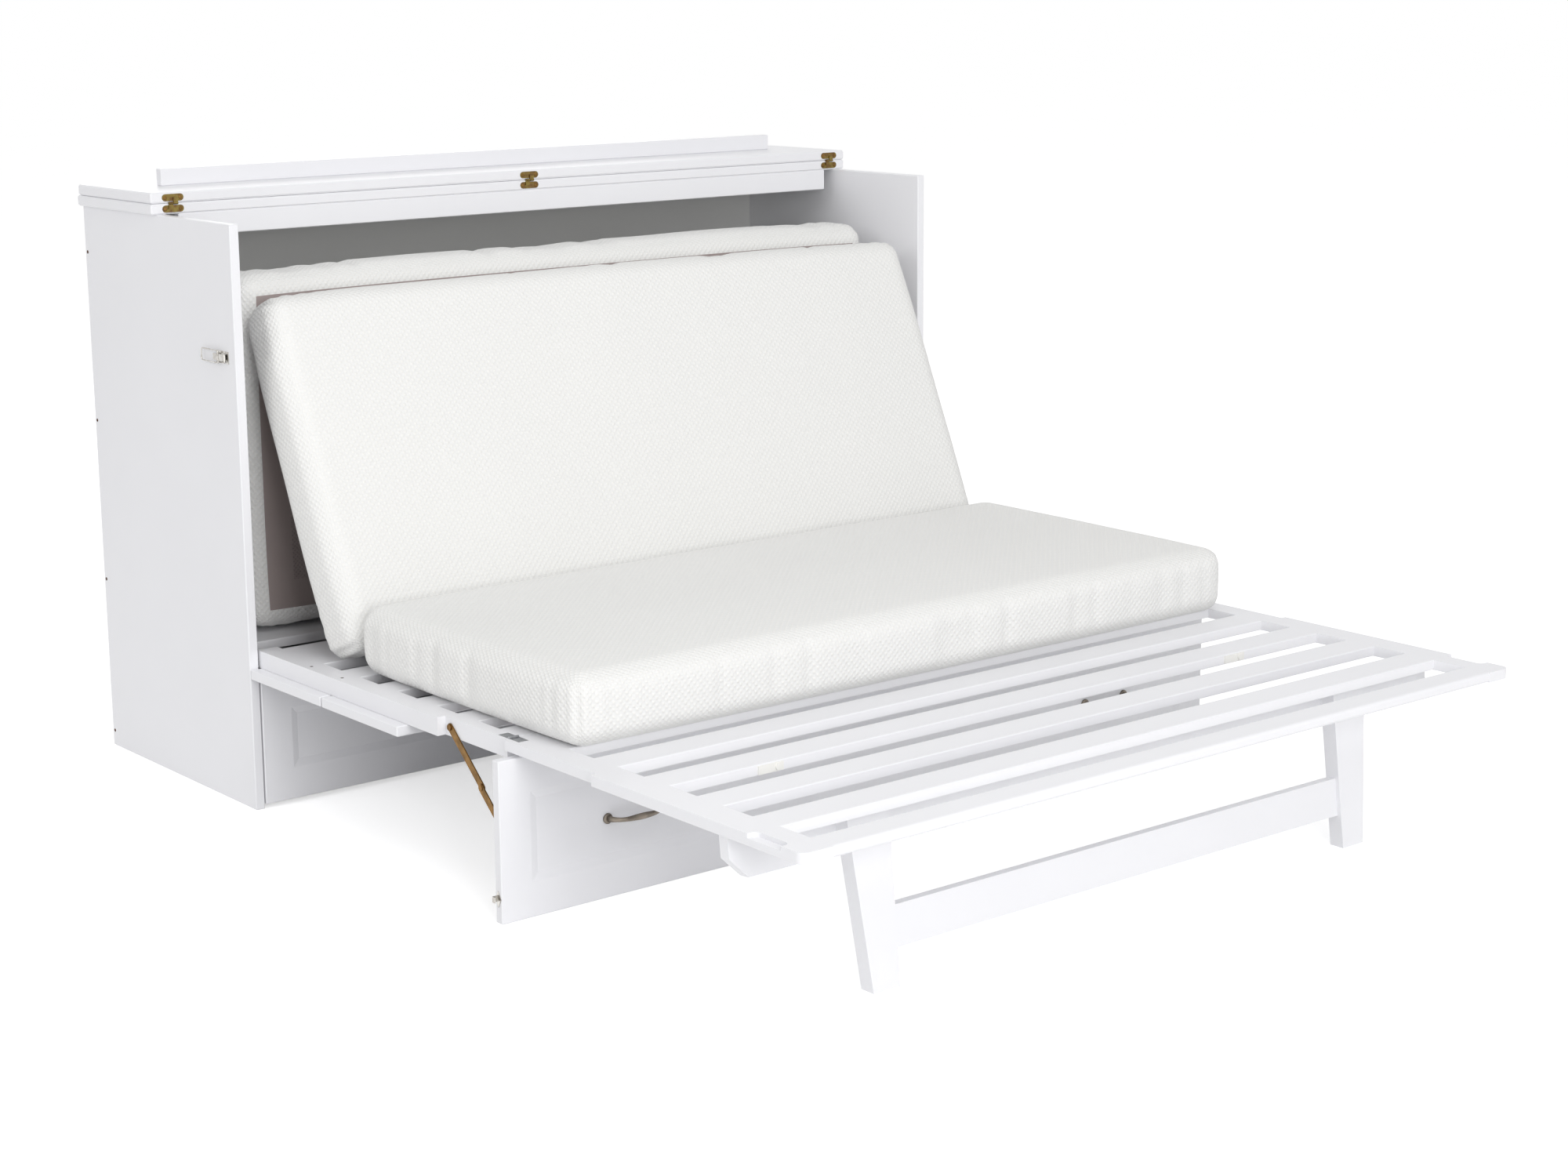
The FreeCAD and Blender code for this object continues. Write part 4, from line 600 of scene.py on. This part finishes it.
def pan_head(mesh, base, out, radius, height):
    """A domed screw head with a cross recess, standing on a face."""
    across = out.orthogonal().normalized()
    up = out.cross(across)
    rings = []
    for share in HEAD_RINGS:
        ring = []
        for m in range(HEAD_SEGMENTS):
            angle = 2 * math.pi * m / HEAD_SEGMENTS
            rise = height * math.sqrt(max(0.0, 1 - HEAD_DOME * share * share))
            if share < HEAD_RECESS and (m % (HEAD_SEGMENTS // 4) == 0 or share < HEAD_CENTRE):
                rise -= height * HEAD_CROSS_DEPTH
            spoke = across * math.cos(angle) + up * math.sin(angle)
            ring.append(mesh.verts.new(base + spoke * radius * share + out * rise))
        rings.append(ring)
    rings.append([mesh.verts.new(v.co - out * (v.co - base).dot(out)) for v in rings[-1]])
    for first, second in zip(rings, rings[1:]):
        for m in range(HEAD_SEGMENTS):
            n = (m + 1) % HEAD_SEGMENTS
            mesh.faces.new((first[m], second[m], second[n], first[n])).smooth = True


def finish_mesh(mesh, name, *materials):
    """Closes up a working mesh and returns it as Blender data with its materials."""
    bmesh.ops.remove_doubles(mesh, verts=mesh.verts, dist=MESH_MERGE)
    bmesh.ops.recalc_face_normals(mesh, faces=mesh.faces)
    data = bpy.data.meshes.new(name)
    mesh.to_mesh(data)
    mesh.free()
    for material in materials:
        data.materials.append(material)
    return data


def metal(name):
    """A plated metal made earlier by the finishing operator."""
    material = bpy.data.materials.get(name)
    if material is None:
        raise RuntimeError(f"{name} is not made yet: run Finish Metal first")
    return material


# ---------------------------------------------------------------- operators
class CABINETBED_OT_finish_boards(bpy.types.Operator):
    """Lacquer the boards, foil the back and give the clips their plastic"""
    bl_idname = "cabinet_bed.finish_boards"
    bl_label = "Finish Boards"

    def execute(self, context):
        finish = context.scene.cabinet_bed_finish
        finish_nodes({
            "white_board": satin_lacquered_mdf(finish),
            "pale_grey_board": matt_foil_hardboard(finish),
            "white_plastic": moulded_abs(),
        })
        return {"FINISHED"}


class CABINETBED_OT_finish_metal(bpy.types.Operator):
    """Plate the hinges, runners, stays, latches, pins and screws"""
    bl_idname = "cabinet_bed.finish_metal"
    bl_label = "Finish Metal"

    def execute(self, context):
        finish = context.scene.cabinet_bed_finish
        finish_nodes({
            # Yellow-passivated zinc, gone brown in patches: the two-tone look of old brass.
            "yellow_zinc": plated_metal("yellow_passivated_zinc", rgba(finish.hinge), rgba(linear("6E5238")),
                                        smooth=0.3, rough_to=0.5, patch=9 * MM, scratch=1.2 * MM),
            # Bright zinc on rolled sheet: pale grey with a faint spangle.
            "zinc_steel": plated_metal("bright_zinc_plate", rgba(linear("B4B6B8")), rgba(linear("9C9EA2")),
                                       smooth=0.28, rough_to=0.45, patch=8 * MM, scratch=1.5 * MM),
            # Bronzed steel strip: brown-gold, rubbed lighter where it slides.
            "brown_gold_steel": plated_metal("bronzed_steel", rgba(finish.stay), shaded(finish.stay, 0.6),
                                             smooth=0.3, rough_to=0.5, patch=14 * MM, scratch=1.2 * MM),
            # Cast zinc with an aged pewter plate: dark warm grey with a soft gloss.
            "pewter": plated_metal("aged_pewter_plate", rgba(finish.handle), shaded(finish.handle, 0.6),
                                   smooth=0.22, rough_to=0.38, patch=18 * MM, scratch=1.5 * MM),
            # Nickel plate over wire and pressed sheet: bright, with sharp highlights.
            "bright_nickel": plated_metal("bright_nickel_plate", rgba(linear("D2D0CC")),
                                          rgba(linear("B8B4AE")),
                                          smooth=0.1, rough_to=0.25, patch=10 * MM, scratch=2 * MM),
            # Oiled phosphate on hardened steel: dark brown, hardly glossy.
            "dark_screw": plated_metal("phosphated_screw_steel", rgba(linear("6A4C3A")),
                                       rgba(linear("3E2E26")),
                                       smooth=0.4, rough_to=0.6, patch=3 * MM, scratch=0.8 * MM),
        })
        return {"FINISHED"}


class CABINETBED_OT_mattress_covers(bpy.types.Operator):
    """Make the three padded sections of the mattress"""
    bl_idname = "cabinet_bed.mattress_covers"
    bl_label = "Mattress Covers"

    def execute(self, context):
        settings = context.scene.cabinet_bed_mattress
        finish = context.scene.cabinet_bed_finish
        low, high = (Vector(corner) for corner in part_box("mattress_front"))
        size = high - low
        rear_half = Matrix.Rotation(math.pi, 4, "Z") @ Matrix.Rotation(math.pi / 2, 4, "X")
        turns = {
            "mattress_front": Matrix.Identity(4),
            "mattress_middle": Matrix.Rotation(math.pi / 2 - MIDDLE_LEAN, 4, "X"),
            "mattress_rear": rear_half,
        }
        knit = dimpled_polyester_knit(finish, settings.dimple_pitch)
        grip = dotted_anti_slip_cloth(finish, size.x, size.y)
        covers = {}
        for seed, (node, turn) in enumerate(turns.items()):
            data = cover_mesh(f"{node}_cover", size, settings, COVER_SEED * (seed + 1))
            data.materials.append(knit)
            data.materials.append(grip)
            set_against(data, turn, node)
            covers[node] = finished_piece(f"{node}_cover", data, node, [node])
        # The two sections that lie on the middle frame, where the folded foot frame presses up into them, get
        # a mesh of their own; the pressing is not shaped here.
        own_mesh(covers["mattress_front"])
        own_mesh(covers["mattress_middle"])
        return {"FINISHED"}


class CABINETBED_OT_bow_handles(bpy.types.Operator):
    """Make the two bow handles of the folding front"""
    bl_idname = "cabinet_bed.bow_handles"
    bl_label = "Bow Handles"

    def execute(self, context):
        radius = context.scene.cabinet_bed_hardware.handle_radius
        mean, swing = HANDLE_SWELL
        round_foot = [2 * math.pi * m / HANDLE_FOOT_SEGMENTS for m in range(HANDLE_FOOT_SEGMENTS)]
        mesh = bmesh.new()
        for low, high in islands("flap_handles"):
            middle_x = (low.x + high.x) / 2
            middle_z = (low.z + high.z) / 2
            half = (high.x - low.x) / 2 - HANDLE_FOOT_RADIUS
            reach = high.y - low.y - radius
            centres = []
            halves = []
            for n in range(HANDLE_STEPS + 1):
                share = n / HANDLE_STEPS
                across = -math.cos(math.pi * share)
                rise = (1 - across ** HANDLE_BOW) ** HANDLE_SHOULDER
                centres.append(Vector((middle_x + half * across, high.y - reach * rise, middle_z)))
                swell = mean + swing * math.cos(4 * math.pi * share)
                halves.append((HANDLE_THIN * radius * swell, radius * swell))
            tube(mesh, centres, HANDLE_SIDES, halves)
            for side in (-1, 1):
                place = Vector((middle_x + side * half, high.y, middle_z))
                foot = []
                for height, share in HANDLE_FOOT:
                    centre = place + Vector((0, -height, 0))
                    width = HANDLE_FOOT_RADIUS * share
                    spokes = [Vector((width * math.cos(a), 0, width * math.sin(a))) for a in round_foot]
                    foot.append([mesh.verts.new(centre + spoke) for spoke in spokes])
                for first, second in zip(foot, foot[1:]):
                    for m in range(HANDLE_FOOT_SEGMENTS):
                        mesh.faces.new((first[m], first[m - 1], second[m - 1], second[m])).smooth = True
                mesh.faces.new(foot[0])
                mesh.faces.new(foot[-1])
        data = finish_mesh(mesh, "bow_handles", metal("aged_pewter_plate"))
        finished_piece("bow_handles", data, "flap", ["flap_handles"])
        return {"FINISHED"}


class CABINETBED_OT_latch_wires(bpy.types.Operator):
    """Bend the wire loops of the two draw latches"""
    bl_idname = "cabinet_bed.latch_wires"
    bl_label = "Latch Wires"

    def execute(self, context):
        hardware = context.scene.cabinet_bed_hardware
        wire = hardware.wire_radius
        bend = hardware.wire_bend
        for side in ("left", "right"):
            node = f"latch_bail_{side}"
            low, high = (Vector(corner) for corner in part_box(node))
            x = (low.x + high.x) / 2
            y0, y1 = low.y + wire, high.y - wire
            z0, z1 = low.z + wire, high.z - wire
            # The two corners at the lever stay nearly square, as the wire there is the loop's pin.
            corners = [(y1 - bend, z1 - bend, bend, 0), (y0 + wire, z1 - wire, wire, 1),
                       (y0 + wire, z0 + wire, wire, 2), (y1 - bend, z0 + bend, bend, 3)]
            points = []
            for y, z, radius, quarter in corners:
                for n in range(WIRE_STEPS + 1):
                    angle = math.pi / 2 * (quarter + n / WIRE_STEPS)
                    points.append((x, y + radius * math.cos(angle), z + radius * math.sin(angle)))
            curve = bpy.data.curves.new(f"latch_wire_{side}", "CURVE")
            curve.dimensions = "3D"
            curve.bevel_depth = wire
            curve.bevel_resolution = WIRE_ROUNDNESS
            spline = curve.splines.new("POLY")
            spline.points.add(len(points) - 1)
            for target, point in zip(spline.points, points):
                target.co = (*point, 1.0)
            spline.use_cyclic_u = True
            curve.materials.append(metal("bright_nickel_plate"))
            finished_piece(f"latch_wire_{side}", curve, node, [node])
        return {"FINISHED"}


class CABINETBED_OT_screws(bpy.types.Operator):
    """Turn the plain screw heads into domed ones with a cross recess"""
    bl_idname = "cabinet_bed.screws"
    bl_label = "Screws"

    def execute(self, context):
        for node, body, axis in (("cabinet_screws", "cabinet", 0), ("deck_screws", "mid_frame", 2)):
            mesh = bmesh.new()
            for low, high in islands(node):
                middle = (low + high) / 2
                out = Vector((0, 0, 0))
                out[axis] = 1.0 if axis == 2 else math.copysign(1.0, middle.x)
                height = high[axis] - low[axis]
                base = middle - out * (height / 2)
                radius = (high[1] - low[1]) / 2
                pan_head(mesh, base, out, radius, height)
            data = finish_mesh(mesh, node, metal("phosphated_screw_steel"))
            finished_piece(f"{node}_domed", data, body, [node])
        for node, body, at_top in (("top_hinge_fixed_leaves", "cabinet", False),
                                   ("top_hinge_moving_leaves", "front_top", True)):
            mesh = bmesh.new()
            for low, high in islands(node):
                z = high.z - HINGE_PLATE_HALF if at_top else low.z + HINGE_PLATE_HALF
                for x in (low.x + HINGE_SCREW_INSET, high.x - HINGE_SCREW_INSET):
                    base = Vector((x, high.y - HINGE_PLATE_FACE, z))
                    pan_head(mesh, base, Vector((0, -1, 0)), HINGE_SCREW_RADIUS, HINGE_SCREW_HEIGHT)
            data = finish_mesh(mesh, f"{body}_hinge_screws", metal("bronzed_steel"))
            finished_piece(f"{body}_hinge_screws", data, body)
        return {"FINISHED"}


class CABINETBED_OT_stage(bpy.types.Operator):
    """Set up the floor, the light and a camera close to the photograph's"""
    bl_idname = "cabinet_bed.stage"
    bl_label = "Stage"

    def execute(self, context):
        stage = context.scene.cabinet_bed_stage
        self.white_room(context, stage.room_light)
        self.floor(stage.floor_reach)
        for name, (size, place) in LAMPS.items():
            self.lamp(f"{name}_lamp", getattr(stage, f"{name}_power"), size, Vector(place))
        self.camera(context)
        context.scene.view_settings.view_transform = "Standard"
        return {"FINISHED"}

    def seen_share(self, tree):
        """1 for rays from the camera, or by way of metal or glass, and 0 for those that light the object."""
        path = add_node(tree, "ShaderNodeLightPath")
        both = add_node(tree, "ShaderNodeMath", {0: path.outputs["Is Camera Ray"],
                                                 1: path.outputs["Is Glossy Ray"]}, operation="MAXIMUM")
        return add_node(tree, "ShaderNodeMath", {0: both.outputs[0], 1: path.outputs["Is Transmission Ray"]},
                        operation="MAXIMUM").outputs[0]

    def white_room(self, context, level):
        """Even light from all round, which is seen as plain white."""
        world = bpy.data.worlds.new("white_room")
        world.use_nodes = True
        tree = world.node_tree
        tree.nodes.clear()
        light = add_node(tree, "ShaderNodeBackground", {"Color": (1, 1, 1, 1), "Strength": level})
        white = add_node(tree, "ShaderNodeBackground", {"Color": (1, 1, 1, 1), "Strength": 1.0})
        mix = add_node(tree, "ShaderNodeMixShader", {0: self.seen_share(tree), 1: light.outputs[0],
                                                     2: white.outputs[0]})
        add_node(tree, "ShaderNodeOutputWorld", {"Surface": mix.outputs[0]})
        context.scene.world = world

    def floor(self, reach):
        """A pale floor that is lifted to white where it is seen, and keeps the shadows."""
        mesh = bmesh.new()
        bmesh.ops.create_grid(mesh, x_segments=FLOOR_CELLS, y_segments=FLOOR_CELLS, size=reach)
        data = finish_mesh(mesh, "floor", self.floor_paint())
        floor = bpy.data.objects.new("floor", data)
        bpy.context.collection.objects.link(floor)

    def floor_paint(self):
        """Matt white emulsion on a smooth screed, with a faint unevenness."""
        material = bpy.data.materials.new("matt_emulsion")
        material.use_nodes = True
        tree = material.node_tree
        tree.nodes.clear()
        place = add_node(tree, "ShaderNodeTexCoord").outputs["Object"]
        cloud = add_node(tree, "ShaderNodeTexNoise", {"Vector": place, "Scale": FLOOR_CLOUD_SCALE})
        pale = linear("F0F0F0")
        colour = add_node(tree, "ShaderNodeMix", {0: cloud.outputs["Fac"], MIX_A: shaded(pale, 0.99),
                                                  MIX_B: shaded(pale, 1.01)}, data_type="RGBA")
        matt = add_node(tree, "ShaderNodeBsdfDiffuse", {"Color": colour.outputs[MIX_RESULT]})
        lift = add_node(tree, "ShaderNodeMath",
                        {0: self.seen_share(tree), 1: FLOOR_LIFT}, operation="MULTIPLY")
        glow = add_node(tree, "ShaderNodeEmission", {"Color": (1, 1, 1, 1), "Strength": lift.outputs[0]})
        both = add_node(tree, "ShaderNodeAddShader", {0: matt.outputs[0], 1: glow.outputs[0]})
        add_node(tree, "ShaderNodeOutputMaterial", {"Surface": both.outputs[0]})
        return material

    def lamp(self, name, power, size, place):
        """A large soft lamp that faces the middle of the object."""
        data = bpy.data.lights.new(name, "AREA")
        data.energy = power
        data.size = size
        lamp = bpy.data.objects.new(name, data)
        lamp.location = place
        lamp.rotation_euler = (LAMP_AIM - place).to_track_quat("-Z", "Y").to_euler()
        bpy.context.collection.objects.link(lamp)

    def camera(self, context):
        """A camera close to the photograph's."""
        data = bpy.data.cameras.new("camera")
        data.lens = CAMERA_LENS
        data.sensor_width = CAMERA_SENSOR
        data.shift_x, data.shift_y = CAMERA_SHIFT
        ahead = Vector((math.sin(CAMERA_YAW) * math.cos(CAMERA_PITCH),
                        math.cos(CAMERA_YAW) * math.cos(CAMERA_PITCH), -math.sin(CAMERA_PITCH)))
        right = Vector((math.cos(CAMERA_YAW), -math.sin(CAMERA_YAW), 0))
        up = right.cross(ahead)
        turned_right = right * math.cos(CAMERA_ROLL) + up * math.sin(CAMERA_ROLL)
        turned_up = up * math.cos(CAMERA_ROLL) - right * math.sin(CAMERA_ROLL)
        axes = Matrix((turned_right, turned_up, -ahead)).transposed()
        camera = bpy.data.objects.new("camera", data)
        camera.matrix_world = Matrix.Translation(CAMERA_PLACE) @ axes.to_4x4()
        bpy.context.collection.objects.link(camera)
        context.scene.camera = camera


class CABINETBED_PT_panel(bpy.types.Panel):
    """The steps that dress the cabinet bed, with their settings"""
    bl_label = "Cabinet Bed"
    bl_idname = "CABINETBED_PT_panel"
    bl_space_type = "VIEW_3D"
    bl_region_type = "UI"
    bl_category = "Cabinet Bed"

    def draw(self, context):
        for operator in STEPS:
            self.layout.operator(operator.bl_idname)
        for name, group in SETTINGS.items():
            box = self.layout.box()
            settings = getattr(context.scene, name)
            for key in group.__annotations__:
                box.prop(settings, key)


STEPS = (
    CABINETBED_OT_finish_boards,
    CABINETBED_OT_finish_metal,
    CABINETBED_OT_mattress_covers,
    CABINETBED_OT_bow_handles,
    CABINETBED_OT_latch_wires,
    CABINETBED_OT_screws,
    CABINETBED_OT_stage,
)
SETTINGS = {
    "cabinet_bed_mattress": MattressSettings,
    "cabinet_bed_hardware": HardwareSettings,
    "cabinet_bed_finish": FinishSettings,
    "cabinet_bed_stage": StageSettings,
}
CLASSES = tuple(SETTINGS.values()) + STEPS + (CABINETBED_PT_panel,)


def register():
    for cls in CLASSES:
        bpy.utils.register_class(cls)
    for name, group in SETTINGS.items():
        setattr(bpy.types.Scene, name, bpy.props.PointerProperty(type=group))


def unregister():
    for name in SETTINGS:
        delattr(bpy.types.Scene, name)
    for cls in reversed(CLASSES):
        bpy.utils.unregister_class(cls)


def main():
    register()
    bpy.ops.cabinet_bed.finish_boards()
    bpy.ops.cabinet_bed.finish_metal()
    bpy.ops.cabinet_bed.mattress_covers()
    bpy.ops.cabinet_bed.bow_handles()
    bpy.ops.cabinet_bed.latch_wires()
    bpy.ops.cabinet_bed.screws()
    bpy.ops.cabinet_bed.stage()


if __name__ == "__main__":
    main()
